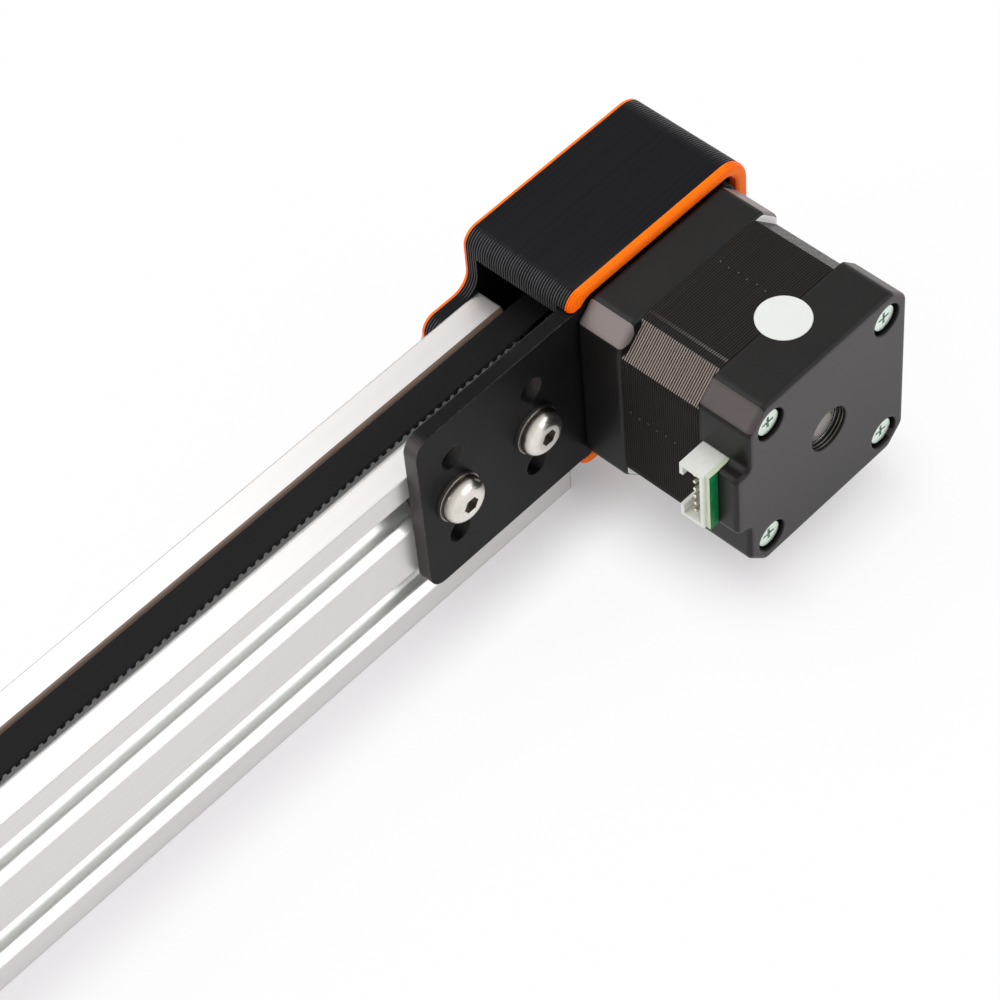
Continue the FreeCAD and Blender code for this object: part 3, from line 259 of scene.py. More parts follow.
def railMetal():
    look = railLook
    made, graph = startMaterial("railAnodised")
    point = objectPoint(graph)
    y, z = splitUp(point)[1:]
    endFace = abs(splitUp(faceNormal(graph))[0]) > squareOn
    longFace = 1 - endFace
    lines = fineNoise(stretched(point, look["lines"]))
    clouds = noise(stretched(point, look["clouds"]))
    across = y - look["sawCentre"]
    sweep = graph.math("SQRT", across * across + z * z)
    wander = noise(point, look["sawNoise"]) * look["sawWander"]
    saw = graph.math("SINE", sweep * (fullTurn / look["sawPitch"]) + wander) * 0.5 + 0.5
    grain = lines * longFace + saw * endFace
    streaks = spread(shared(grain, clouds, look["lineShare"]), *noiseBand)
    outer = blendColours(streaks, look["dull"], look["bright"])

    # Inside the slots: paler and less metallic, painted light, and the belt's slot white, painted light
    lipFrom, lipTo = look["mouth"]
    fromMiddle = abs(y)
    topSlot = (fromMiddle < lipFrom) * (z > look["topSlot"]) * longFace
    slots = (fromMiddle < look["innerWidth"]) * (z < look["innerTop"]) * longFace
    inside = graph.math("MAXIMUM", slots, topSlot)
    paintedSlotLight = blendColours(topSlot, look["inner"], look["paintedMouthLight"])
    face = blendColours(inside, outer, paintedSlotLight)

    # Edges, painted dark as a painted reflection, and at the lips of the belt's slot a painted highlight
    # on the far lip and a painted dark reflection on the near lip; and the slope beside the belt, painted
    # with the belt's shade and reflection
    byBelt = z > look["beltFloor"]
    atMouth = (fromMiddle > lipFrom) * (fromMiddle < lipTo) * byBelt
    paintedLipLines = blendColours(y < 0.0, look["paintedMouthLight"], look["nearLipDarkReflection"])
    paintedEdgeLine = blendColours(topSlot, look["edgeDarkReflection"], look["paintedMouthLight"])
    rounded = softEdge(graph, look["edge"])
    rim = edgeMask(graph, rounded) * (atMouth * look["mouthGain"] + 1)
    edged = blendColours(rim, face, blendColours(atMouth, paintedEdgeLine, paintedLipLines))
    # Brown on the far slope beside the belt: the belt's painted shade and reflection
    slope = (y > look["beltFar"]) * (y < lipFrom) * byBelt * longFace
    colour = blendColours(slope, edged, look["beltShadeReflection"])

    rough = grain * look["lineRough"] + look["roughness"] - inside * look["innerGloss"]
    metallic = inside * (look["innerMetallic"] - look["metallic"]) + look["metallic"]
    normal = relief(grain, look["relief"], rounded)
    return closeMaterial(made, graph, colour, rough, normal, metallic * (1 - topSlot))


# Belt: matte rubber with a fine woven face
beltLook = {
    "dark": (0.005, 0.005, 0.0053), "light": (0.012, 0.0117, 0.0115),
    "dust": (40.0, 700.0, 200.0), "grit": 9000.0, "dustShare": 0.7, "dustBand": (0.35, 0.75),
    "roughness": 0.55, "dustRough": 0.2, "roughBand": (0.2, 0.8), "specular": 0.12,
    "weave": 0.0004, "weaveShare": 0.5, "relief": (0.3, 0.00005),
}


def beltRubber():
    look = beltLook
    made, graph = startMaterial("beltRubber")
    point = objectPoint(graph)
    x, y = splitUp(point)[:2]
    turn = fullTurn / look["weave"]
    weave = graph.math("SINE", x * turn) * graph.math("SINE", y * turn)
    dust = fineNoise(stretched(point, look["dust"]))
    grit = noise(point, look["grit"])
    dusty = spread(shared(dust, grit, look["dustShare"]), *look["dustBand"])
    colour = blendColours(dusty, look["dark"], look["light"])
    rough = spread(dust, *look["roughBand"]) * look["dustRough"] + look["roughness"]
    normal = relief(weave * look["weaveShare"] + grit, look["relief"])
    return closeMaterial(made, graph, colour, rough, normal, specular=look["specular"])


# Black anodised sheet, with paler cut ends that are partly a painted reflection, painted shade in the
# holes, and edges with wear that are partly a painted highlight
plateLook = {
    "deep": (0.004, 0.0041, 0.0046), "thin": (0.008, 0.0083, 0.0093),
    "grain": (300.0, 2600.0, 2600.0), "clouds": 60.0, "grainShare": 0.5, "grainBand": (0.35, 0.65),
    "cut": (0.074, 0.066, 0.064), "cutBand": (0.2, 0.8), "cutInHole": 0.6,
    "wornAndSheen": (0.10, 0.096, 0.096), "wear": 900.0, "wearBand": (0.3, 0.6), "edge": 0.0004,
    "holeReach": 0.004, "holeBand": (0.80, 0.98),
    "roughness": 0.31, "grainRough": 0.14, "wornGloss": 0.08, "specular": 0.08,
    "relief": (0.15, 0.00003),
}


def blackSheet():
    look = plateLook
    made, graph = startMaterial("blackAnodised")
    point = objectPoint(graph)
    grain = fineNoise(stretched(point, look["grain"]))
    clouds = cloudNoise(point, look["clouds"])
    streaks = spread(shared(grain, clouds, look["grainShare"]), *look["grainBand"])
    face = blendColours(streaks, look["deep"], look["thin"])
    # Painted shade in the holes, from how open each point is
    clearOfHoleShade = spread(openness(graph, look["holeReach"]), *look["holeBand"])
    cutFace = spread(abs(splitUp(faceNormal(graph))[0]), *look["cutBand"])
    # Cut ends paler, partly a painted reflection, less so in the holes
    cut = cutFace * (clearOfHoleShade * (1 - look["cutInHole"]) + look["cutInHole"])
    rounded = softEdge(graph, look["edge"])
    # Edges with wear, partly a painted highlight
    rim = edgeMask(graph, rounded) * spread(cloudNoise(point, look["wear"]), *look["wearBand"])
    colour = blendColours(rim * clearOfHoleShade, blendColours(cut, face, look["cut"]), look["wornAndSheen"])
    rough = grain * look["grainRough"] + look["roughness"] - rim * look["wornGloss"]
    normal = relief(grain, look["relief"], rounded)
    return closeMaterial(made, graph, colour, rough, normal, specular=look["specular"])


# Printed cover: one ridge for each layer, the first and last layers in orange; on the black, crests
# lighter as a painted highlight and grooves darker as painted shade, and the orange lighter on faces
# turned up as painted light
coverLook = {
    "black": (0.0060, 0.0062, 0.0078), "blackCrestHighlight": (0.064, 0.064, 0.068),
    "orange": (1.0, 0.20, 0.001), "orangeDeep": (0.95, 0.115, 0.0004),
    "nearBand": -0.0114, "farBand": 0.0125,
    "layer": 0.00056, "ridgeBand": (0.4, 1.0), "ridgeShare": 0.8,
    "litBand": (0.1, 1.0), "litShare": 0.75, "flatRidge": 0.05, "curveBand": (0.02, 0.35),
    "road": 0.0006, "roadRidge": 0.35, "wander": (60.0, 1500.0, 60.0), "wobble": 0.08,
    "roadShare": 0.35, "rasterShare": 0.25, "clouds": 45.0, "cloudShare": 0.4,
    "roughness": 0.30, "layerRough": 0.12, "roadRough": 0.12, "specular": 0.09,
    "relief": (0.5, 0.0002),
}


def printedPlastic():
    look = coverLook
    made, graph = startMaterial("printedCover")
    point = objectPoint(graph)
    x, y, z = splitUp(point)
    sideways, along, upward = splitUp(faceNormal(graph))
    flatFace = abs(along) > squareOn
    layerFace = 1 - flatFace
    wobble = noise(stretched(point, look["wander"])) * look["wobble"]

    # Layers show on the outside, and the last layer's roads on the two flat faces
    layer = y / look["layer"]
    layerTone = numberOf(layer)
    ridge = abs(graph.math("SINE", layer * math.pi))
    road = (x + z + wobble * look["road"]) / look["road"]
    roadTone = numberOf(road)
    raster = abs(graph.math("SINE", road * math.pi))
    curve = spread(abs(sideways), *look["curveBand"])
    curved = curve * (1 - look["flatRidge"]) + look["flatRidge"]
    height = (ridge + wobble) * curved * layerFace + raster * flatFace * look["roadRidge"]

    # Crests lighter, a painted highlight, and grooves darker, painted shade, with a random tone for each
    # layer
    ridgeHighlightAndTone = shared(spread(height, *look["ridgeBand"]), layerTone, look["ridgeShare"])
    dark = blendColours(ridgeHighlightAndTone * curved, look["black"], look["blackCrestHighlight"])
    clouds = cloudNoise(point, look["clouds"])
    patchy = roadTone * look["roadShare"] + raster * look["rasterShare"] + clouds * look["cloudShare"]
    # Orange lighter on faces turned up: painted light
    lit = shared(spread(upward, *look["litBand"]), layerTone, look["litShare"])
    orangeLitAndPatchy = blendColours(flatFace * patchy + layerFace * lit, look["orangeDeep"], look["orange"])
    orange = graph.math("MAXIMUM", y < look["nearBand"], y > look["farBand"])
    colour = blendColours(orange, dark, orangeLitAndPatchy)

    layerRough = layerTone * look["layerRough"]
    rough = layerRough + flatFace * roadTone * look["roadRough"] + look["roughness"]
    normal = relief(height, look["relief"])
    return closeMaterial(made, graph, colour, rough, normal, specular=look["specular"])


# Painted motor castings, with a turned bare wall in the rear bearing hole, near black between its rings as
# painted shade
bellLook = {
    "deep": (0.0060, 0.0054, 0.0050), "pale": (0.0095, 0.0084, 0.0079),
    "peel": 1500.0, "clouds": 90.0, "specks": 6000.0, "peelShare": 0.4,
    # Chamfer colours: painted reflection
    "corner": 0.0173, "frontCornerSheen": (0.205, 0.176, 0.168), "rearCornerSheen": (0.070, 0.058, 0.056),
    "jointMiddle": -0.033, "joint": (0.80, 0.79, 0.80),
    # Rear face colours: painted reflection, darker towards the bottom as painted shade
    "capDeep": (0.020, 0.0175, 0.0195), "capPale": (0.050, 0.0445, 0.0455),
    "capFrom": -0.0529, "capShadeRise": (-0.021, 0.012), "capPatches": 0.2,
    "holeRadius": 0.00475, "holeFrom": -0.0485, "turnPitch": 0.0007, "turnCrest": 0.6,
    "bare": (0.50, 0.45, 0.40), "groove": (0.006, 0.0055, 0.005),
    "roughness": 0.30, "cloudRough": 0.10, "speckRough": 0.08, "specular": 0.22,
    "edge": 0.0008, "speckShare": 0.4, "relief": (0.09, 0.00005),
}


def castPaint():
    look = bellLook
    made, graph = startMaterial("motorPaint")
    point = objectPoint(graph)
    x, y, z = splitUp(point)
    across = x - motorAxis.x
    upward = z - axleHeight
    peel = fineNoise(point, look["peel"])
    clouds = cloudNoise(point, look["clouds"])
    specks = noise(point, look["specks"])
    patchy = spread(shared(peel, clouds, look["peelShare"]), *noiseBand)
    side = blendColours(patchy, look["deep"], look["pale"])

    # Chamfered corners, paler as a painted reflection, more at the front casting than the rear, and bare
    # faces towards the stator at three of them
    inFront = y > look["jointMiddle"]
    atCorner = graph.math("MINIMUM", abs(across), abs(upward)) > look["corner"]
    cornerSheen = blendColours(inFront, look["rearCornerSheen"], look["frontCornerSheen"])
    body = blendColours(atCorner, side, cornerSheen)
    along = splitUp(faceNormal(graph))[1]
    atJoint = inFront * (along < -squareOn) + (1 - inFront) * (along > squareOn)
    # The joint face at the upper -X corner keeps the body's dark colour
    upperMinusXCorner = (across < 0.0) * (upward > 0.0)
    coated = blendColours(atJoint * (1 - upperMinusXCorner), body, look["joint"])

    # Rear face, paler than the body as a painted reflection and darker towards the bottom as painted
    # shade, and the hole in it
    atCap = y < look["capFrom"]
    rise = spread(upward, *look["capShadeRise"])
    cap = blendColours(shared(patchy, rise, look["capPatches"]), look["capDeep"], look["capPale"])
    outside = blendColours(atCap, coated, cap)
    nearAxis = across * across + upward * upward < look["holeRadius"] ** 2
    inHole = nearAxis * (y < look["holeFrom"]) * (1 - atCap)
    # Bore wall near black between bare turned rings: painted shade in the hole
    turned = graph.math("SINE", y * (fullTurn / look["turnPitch"])) > look["turnCrest"]
    wall = blendColours(turned, look["groove"], look["bare"])
    colour = blendColours(inHole, outside, wall)

    rough = clouds * look["cloudRough"] + specks * look["speckRough"] + look["roughness"]
    bumps = peel + specks * look["speckShare"]
    normal = relief(bumps, look["relief"], softEdge(graph, look["edge"]))
    return closeMaterial(made, graph, colour, rough, normal, inHole * turned, look["specular"])


# Stator sheets: dark punched steel, a little different from sheet to sheet, and the gaps between
stackLooks = {
    "statorSheets": {"dark": (0.021, 0.0186, 0.0170), "bright": (0.036, 0.0318, 0.0293),
                     "corner": (0.072, 0.0627, 0.0573), "bare": 1.0},
    "statorGaps": {"dark": (0.010, 0.0089, 0.0081), "bright": (0.018, 0.0159, 0.0147),
                   "corner": (0.002, 0.0018, 0.0017), "bare": 0.0},
}
stackGrain = {
    "pitch": 0.0005, "burr": (900.0, 6000.0, 900.0), "sheetShare": 0.25, "burrShare": 0.5,
    "corner": 0.0150, "bare": (0.15, 0.134, 0.124), "bareFrom": 0.01275, "bareTo": 0.01345,
    "bareFade": (-0.020, -0.045),
    "roughness": 0.20, "sheetRough": 0.08, "burrRough": 0.1, "flatRough": 0.25, "specular": 0.04,
    "relief": (0.15, 0.00003),
}


def sheetSteel(name):
    look, grain = stackLooks[name], stackGrain
    made, graph = startMaterial(name)
    point = objectPoint(graph)
    x, y, z = splitUp(point)
    sheetTone = numberOf(y / grain["pitch"])
    burr = noise(stretched(point, grain["burr"]))
    shade = sheetTone * grain["sheetShare"] + burr * grain["burrShare"]
    painted = blendColours(shade, look["dark"], look["bright"])
    across = motorAxis.x - x
    # A bare burr band near the -X tip edges, stronger towards the rear: partly a painted highlight
    burrHighlight = (across > grain["bareFrom"]) * (across < grain["bareTo"]) * look["bare"]
    wornAndSheen = blendColours(burrHighlight * spread(y, *grain["bareFade"]), painted, grain["bare"])
    corner = (abs(across) > grain["corner"]) * (abs(z - axleHeight) > grain["corner"])
    colour = blendColours(corner, wornAndSheen, look["corner"])
    fineRoughness = sheetTone * grain["sheetRough"] + burr * grain["burrRough"]
    rough = fineRoughness + grain["roughness"] + (1 - corner) * grain["flatRough"]
    normal = relief(burr, grain["relief"])
    return closeMaterial(made, graph, colour, rough, normal, corner * look["bare"], grain["specular"])


# Colour, roughness and normal of a grained finish, for the metals and plastics
def grained(graph, look, finish):
    point = objectPoint(graph)
    grain = fineNoise(point, look["grain"])
    clouds = cloudNoise(point, finish["clouds"])
    shade = spread(shared(grain, clouds, finish["grainShare"]), *noiseBand)
    colour = blendColours(shade, look["low"], look["high"])
    rough = grain * finish["grainRough"] + clouds * finish["cloudRough"] + look["roughness"]
    normal = relief(grain, finish["relief"], softEdge(graph, finish["edge"]))
    return colour, rough, normal


# Bright metals, told apart by colour, gloss and grain
metalLooks = {
    "stainlessScrew": {"low": (0.64, 0.62, 0.58), "high": (0.86, 0.83, 0.78),
                       "roughness": 0.16, "grain": 1800.0},
    "railScrew": {"low": (0.62, 0.59, 0.54), "high": (0.86, 0.82, 0.76),
                  "roughness": 0.17, "grain": 2600.0, "side": (0.34, 0.30, 0.265)},
    "railWasher": {"low": (0.27, 0.24, 0.21), "high": (0.42, 0.38, 0.335),
                   "roughness": 0.20, "grain": 2600.0, "side": (0.62, 0.57, 0.51)},
    "zincPlate": {"low": (0.62, 0.72, 0.63), "high": (0.86, 0.95, 0.88),
                  "roughness": 0.24, "grain": 2400.0, "shadeAndGrime": 0.1},
    # Darker than the other steels: painted shade, for the shaft end deep in the rear hole
    "shaftSteel": {"low": (0.20, 0.18, 0.165), "high": (0.36, 0.325, 0.30),
                   "roughness": 0.24, "grain": 3000.0},
    "turnedAlloy": {"low": (0.62, 0.62, 0.63), "high": (0.80, 0.80, 0.81),
                    "roughness": 0.26, "grain": 2600.0},
    "bearingSteel": {"low": (0.50, 0.51, 0.52), "high": (0.70, 0.71, 0.72),
                     "roughness": 0.18, "grain": 3200.0},
    "stackedIron": {"low": (0.22, 0.22, 0.22), "high": (0.40, 0.40, 0.40),
                    "roughness": 0.34, "grain": 2200.0},
    "magnetGrey": {"low": (0.10, 0.10, 0.10), "high": (0.20, 0.20, 0.21),
                   "roughness": 0.45, "grain": 3500.0},
    "enamelCopper": {"low": (0.42, 0.15, 0.06), "high": (0.70, 0.30, 0.13),
                     "roughness": 0.28, "grain": 1600.0},
    "punchSteel": {"low": (0.05, 0.045, 0.042), "high": (0.10, 0.09, 0.083),
                   "roughness": 0.30, "grain": 3000.0},
    "tinPin": {"low": (0.62, 0.58, 0.48), "high": (0.80, 0.77, 0.68),
               "roughness": 0.22, "grain": 4000.0},
}
metalFinish = {"clouds": 120.0, "grainShare": 0.35, "grainRough": 0.10, "cloudRough": 0.06,
               "relief": (0.10, 0.00003), "edge": 0.00025}
sideBand = (0.72, 0.15)  # share of the normal along Y, from a screw's face to its side
shadeAndGrime = {"reach": 0.0016, "band": (0.25, 0.85), "share": 0.92, "tone": (0.06, 0.05, 0.042)}


def brightMetal(name):
    look = metalLooks[name]
    made, graph = startMaterial(name)
    clean, rough, normal = grained(graph, look, metalFinish)
    # Rail screw heads darker on their sides, a painted dark reflection of the plate; rail washers paler on
    # their rims
    if "side" in look:
        facing = abs(splitUp(faceNormal(graph))[1])
        clean = blendColours(spread(facing, *sideBand), clean, look["side"])
    # Painted shade in recesses and under heads, from how open each point is, with a little dirt
    recessShade = 1 - spread(openness(graph, shadeAndGrime["reach"]), *shadeAndGrime["band"])
    colour = blendColours(recessShade * look.get("shadeAndGrime", shadeAndGrime["share"]), clean, shadeAndGrime["tone"])
    return closeMaterial(made, graph, colour, rough, normal, metallic=1.0)


# Plastics, rubber and paper
plasticLooks = {
    "ivoryNylon": {"low": (0.66, 0.68, 0.63), "high": (0.78, 0.80, 0.75),
                   "roughness": 0.42, "grain": 1500.0},
    "blackAcetal": {"low": (0.013, 0.013, 0.014), "high": (0.032, 0.032, 0.034),
                    "roughness": 0.40, "grain": 1800.0},
    "sealRubber": {"low": (0.010, 0.010, 0.010), "high": (0.022, 0.022, 0.022),
                   "roughness": 0.50, "grain": 2200.0},
    "stickerPaper": {"low": (0.70, 0.72, 0.69), "high": (0.76, 0.78, 0.75),
                     "roughness": 0.55, "grain": 2600.0},
    "nutInsert": {"low": (0.62, 0.64, 0.66), "high": (0.78, 0.80, 0.82),
                  "roughness": 0.45, "grain": 1800.0},
}
plasticFinish = {"clouds": 150.0, "grainShare": 0.4, "grainRough": 0.12, "cloudRough": 0.06,
                 "relief": (0.12, 0.00003), "edge": 0.0002}


def mouldedPlastic(name):
    made, graph = startMaterial(name)
    colour, rough, normal = grained(graph, plasticLooks[name], plasticFinish)
    return closeMaterial(made, graph, colour, rough, normal)


# Circuit board: green mask on its two faces, pale glass fibre on the cut edges
boardLook = {
    "maskLow": (0.0, 0.13, 0.035), "maskHigh": (0.002, 0.23, 0.07), "clouds": 900.0,
    "fibreLow": (0.50, 0.58, 0.42), "fibreHigh": (0.66, 0.72, 0.56),
    "strands": (300.0, 9000.0, 300.0), "cutBelow": 0.5,
    "roughness": 0.34, "cloudRough": 0.1, "cutRough": 0.2, "specular": 0.2, "relief": (0.1, 0.00003),
}


def boardMask():
    look = boardLook
    made, graph = startMaterial("boardMask")
    point = objectPoint(graph)
    cutEdge = abs(splitUp(faceNormal(graph))[1]) < look["cutBelow"]
    clouds = cloudNoise(point, look["clouds"])
    strands = noise(stretched(point, look["strands"]))
    mask = blendColours(spread(clouds, *noiseBand), look["maskLow"], look["maskHigh"])
    fibre = blendColours(spread(strands, *noiseBand), look["fibreLow"], look["fibreHigh"])
    colour = blendColours(cutEdge, mask, fibre)
    rough = clouds * look["cloudRough"] + look["roughness"] + cutEdge * look["cutRough"]
    normal = relief(clouds, look["relief"])
    return closeMaterial(made, graph, colour, rough, normal, specular=look["specular"])


metals = {name: brightMetal(name) for name in metalLooks}
plastics = {name: mouldedPlastic(name) for name in plasticLooks}
coverPlastic = printedPlastic()
statorSheets = sheetSteel("statorSheets")
wheelNames = [name for name in nodes if name.startswith("wheel_") and name.endswith(("_near", "_far"))]
ringNames = [name for name in nodes if name.endswith(("bearing_shells", "inner_rings"))]
dress(railMetal(), "rail")
dress(beltRubber(), "timing_belt", "belt_ends")
dress(blackSheet(), "motor_plate", "idler_plate_near", "idler_plate_far", "gantry_plate", "belt_clamps")
dress(coverPlastic, "drive_cover")
dress(castPaint(), "motor_front_bell", "motor_rear_bell")
dress(sheetSteel("statorGaps"), "motor_stator")
dress(metals["railScrew"], "rail_screws", "idler_bolt")
dress(metals["railWasher"], "rail_washers")
dress(metals["stainlessScrew"], "wheel_bolts", "motor_mount_screws", "belt_clamp_screws",
      "pulley_set_screws", "eccentric_spacers")
dress(metals["zincPlate"], "motor_through_screws", "idler_nut", "wheel_nuts")
dress(metals["punchSteel"], "rail_slot_nuts")
dress(metals["shaftSteel"], "motor_shaft")
dress(metals["turnedAlloy"], "drive_pulley", "idler_spacers", "wheel_shims", "wheel_spacers")
dress(metals["bearingSteel"], *ringNames)
dress(metals["stackedIron"], "rotor_cores")
dress(metals["magnetGrey"], "rotor_magnet")
dress(metals["enamelCopper"], "motor_windings")
dress(metals["tinPin"], "connector_pins")
dress(plastics["ivoryNylon"], "connector_housing")
dress(boardMask(), "connector_board")
dress(plastics["blackAcetal"], "idler_wheel", *wheelNames)
print("materials on", len(nodes), "nodes")


def newPiece(name, shape, material, body):
    mesh = bpy.data.meshes.new(name)
    bmesh.ops.recalc_face_normals(shape, faces=shape.faces)
    shape.to_mesh(mesh)
    shape.free()
    piece = bpy.data.objects.new(name, mesh)
    bpy.context.scene.collection.objects.link(piece)
    mesh.materials.append(material)
    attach(piece, body)
    return piece


def outlineFace(shape, points):
    return shape.faces.new([shape.verts.new(point) for point in points])


def edgeLoop(shape, points):
    verts = [shape.verts.new(point) for point in points]
    return [shape.edges.new(pair) for pair in zip(verts, verts[1:] + verts[:1])]


# The vertices or edges that an operator gave back
def onlyKind(geometry, kind):
    return [item for item in geometry if isinstance(item, kind)]


# Stands a shape that was drawn round +Z on another axis, at a place
def stand(shape, verts, axis, place):
    turn = axisZ.rotation_difference(Vector(axis)).to_matrix()
    bmesh.ops.rotate(shape, verts=verts, matrix=turn)
    bmesh.ops.translate(shape, verts=verts, vec=place)


# A ring spun from an outline of radius and height pairs, of five points or more
def addRing(shape, outline, axis, place, steps=64):
    old = set(shape.verts)
    first = outlineFace(shape, [(radius, 0, height) for radius, height in outline])
    bmesh.ops.spin(shape, geom=[first, *first.edges, *first.verts], cent=(0, 0, 0), axis=axisZ,
                   angle=fullTurn, steps=steps, use_merge=True)
    inside = [face for face in shape.faces if len(face.verts) != 4 and not set(face.verts) & old]
    bmesh.ops.delete(shape, geom=inside, context="FACES_ONLY")
    stand(shape, [vert for vert in shape.verts if vert not in old], axis, place)


# Stator skin: one thin ring for each sheet, two facets at each corner
skin = {"sheet": 0.00028, "half": 0.02112, "wall": 0.0004,
        "tipRun": 0.0078, "tipDrop": 0.0004, "shoulder": 0.0060}


def sheetOutline(half):
    tip, drop, shoulder = (half - skin[key] for key in ("tipRun", "tipDrop", "shoulder"))
    corner = [(half, tip), (drop, shoulder), (shoulder, drop), (tip, half)]
    outline = []
    for _ in range(4):
        outline += corner
        corner = [(-z, x) for x, z in corner]
    return outline


def statorSkin():
    low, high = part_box("motor_stator")
    pitch = stackGrain["pitch"]
    outer, inner = skin["half"], skin["half"] - skin["wall"]
    front, back = high.y, high.y - skin["sheet"]
    shape = bmesh.new()
    loops = []
    for half, y in ((outer, front), (inner, front), (outer, back), (inner, back)):
        points = [(motorAxis.x + x, y, axleHeight + z) for x, z in sheetOutline(half)]
        loops.append(edgeLoop(shape, points))
    # Flat rims first: once walls join them, a bridge between flat loops runs the wrong way round
    for first, second in ((0, 1), (2, 3), (0, 2), (1, 3)):
        bmesh.ops.bridge_loops(shape, edges=loops[first] + loops[second])
    sheet = [*shape.verts, *shape.edges, *shape.faces]
    for i in range(1, round((high.y - low.y) / pitch)):
        copied = bmesh.ops.duplicate(shape, geom=sheet)["geom"]
        verts = onlyKind(copied, bmesh.types.BMVert)
        bmesh.ops.translate(shape, verts=verts, vec=axisY * (-i * pitch))
    newPiece("statorSkin", shape, statorSheets, "frame")


statorSkin()


# Punch marks that lock the sheets together, a row on each open side of the stack
punch = {"fromAxis": 0.0033, "side": 0.0023, "first": -0.0252, "step": -0.0021, "count": 6,
         "radius": 0.00026, "detail": 2, "sway": 0.00012}


def punchMarks():
    shape = bmesh.new()
    half = skin["half"]
    rows = (((0, 0, 1), punch["fromAxis"], half), ((-1, 0, 0), -half, punch["side"]),
            ((1, 0, 0), half, punch["side"]), ((0, 0, -1), punch["fromAxis"], -half))
    for axis, x, z in rows:
        for i in range(punch["count"]):
            place = Vector((motorAxis.x + x, punch["first"] + i * punch["step"], axleHeight + z))
            aside = axisY.cross(Vector(axis)) * (punch["sway"] * (-1) ** i)
            made = bmesh.ops.create_icosphere(shape, subdivisions=punch["detail"], radius=punch["radius"])
            bmesh.ops.translate(shape, verts=made["verts"], vec=place + aside)
    newPiece("punchMarks", shape, metals["punchSteel"], "frame")


punchMarks()


# Plain round sticker across the step from the stator to the rear casting
sticker = {"fromAxis": 0.0005, "y": -0.0422, "radius": 0.00515, "sides": 96, "thick": 0.00012,
           "round": 0.00004, "roundSteps": 2}


def plainSticker():
    shape = bmesh.new()
    radius, thick = sticker["radius"], sticker["thick"]
    bmesh.ops.create_cone(shape, cap_ends=True, segments=sticker["sides"], radius1=radius,
                          radius2=radius, depth=thick)
    upper = [edge for edge in shape.edges if all(vert.co.z > 0 for vert in edge.verts)]
    bmesh.ops.bevel(shape, geom=upper, offset=sticker["round"], offset_type="OFFSET", affect="EDGES",
                    segments=sticker["roundSteps"], profile=0.5, material=-1)
    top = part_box("motor_rear_bell")[1].z
    place = (motorAxis.x + sticker["fromAxis"], sticker["y"], top + thick / 2)
    bmesh.ops.translate(shape, verts=shape.verts, vec=place)
    newPiece("plainSticker", shape, plastics["stickerPaper"], "frame")


plainSticker()
print("motor details built")


# Printed cover: the same shape, with a groove between each two layers
groove = {"half": 0.00017, "depth": 0.00014, "flatShare": 0.08, "curveFull": 0.35, "endGap": 0.0003,
          "merge": 1e-6, "crease": 35.0}


def layeredCover():
    low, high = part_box("drive_cover")
    pitch, half, merge = coverLook["layer"], groove["half"], groove["merge"]
    shape = bmesh.new()
    shape.from_mesh(nodes["drive_cover"].data)
    bmesh.ops.remove_doubles(shape, verts=shape.verts, dist=merge)
    first = math.ceil((low.y + groove["endGap"]) / pitch)
    last = math.floor((high.y - groove["endGap"]) / pitch)
    for i in range(first, last + 1):
        for y in (i * pitch - half, i * pitch, i * pitch + half):
            parts = [*shape.verts, *shape.edges, *shape.faces]
            bmesh.ops.bisect_plane(shape, geom=parts, plane_co=axisY * y, plane_no=axisY)
    shape.normal_update()
    for vert in shape.verts:
        i = round(vert.co.y / pitch)
        if first <= i <= last and abs(vert.co.y - i * pitch) < merge:
            curve = min(abs(vert.normal.x) / groove["curveFull"], 1.0)
            share = groove["flatShare"] + (1 - groove["flatShare"]) * curve
            vert.co -= Vector((vert.normal.x, 0, vert.normal.z)) * (groove["depth"] * share)
    bmesh.ops.dissolve_degenerate(shape, edges=shape.edges, dist=merge)
    piece = newPiece("layeredCover", shape, coverPlastic, "frame")
    # The node's own stored normals don't fit the grooves
    attributes = piece.data.attributes
    stored = attributes.get("custom_normal")
    if stored:
        attributes.remove(stored)
    piece.data.set_sharp_from_angle(angle=math.radians(groove["crease"]))
    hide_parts("drive_cover")
    print("cover layers built,", last + 1 - first, "grooves")


layeredCover()


# Thread crests on the bolt ends that stand out of the nuts, and the nuts' nylon rings
thread = {"pitch": 0.0008, "root": 0.00240, "crest": 0.00258, "width": 0.0006, "turns": 5, "steps": 24}
insert = {"inner": 0.00252, "outer": 0.0031, "rise": 0.00022, "round": 0.0001}


def addThread(shape, axis, place):
    old = set(shape.verts)
    root, crest, half = thread["root"], thread["crest"], thread["width"] / 2
    face = outlineFace(shape, [(root, 0, 0), (crest, 0, half), (root, 0, 2 * half)])
    turns, steps = thread["turns"], thread["steps"]
    spun = bmesh.ops.spin(shape, geom=[*face.edges, *face.verts], cent=(0, 0, 0), axis=axisZ,
                          dvec=axisZ * (thread["pitch"] / steps), angle=fullTurn * turns,
                          steps=steps * turns, use_merge=False)
    bmesh.ops.holes_fill(shape, edges=onlyKind(spun["geom_last"], bmesh.types.BMEdge))
    stand(shape, [vert for vert in shape.verts if vert not in old], axis, place)


def addInsert(shape, axis, place):
    inner, outer, rise, rim = (insert[key] for key in ("inner", "outer", "rise", "round"))
    outline = [(inner, -rise), (outer, -rise), (outer, rise - rim), (outer - rim, rise), (inner, rise)]
    addRing(shape, outline, axis, place)


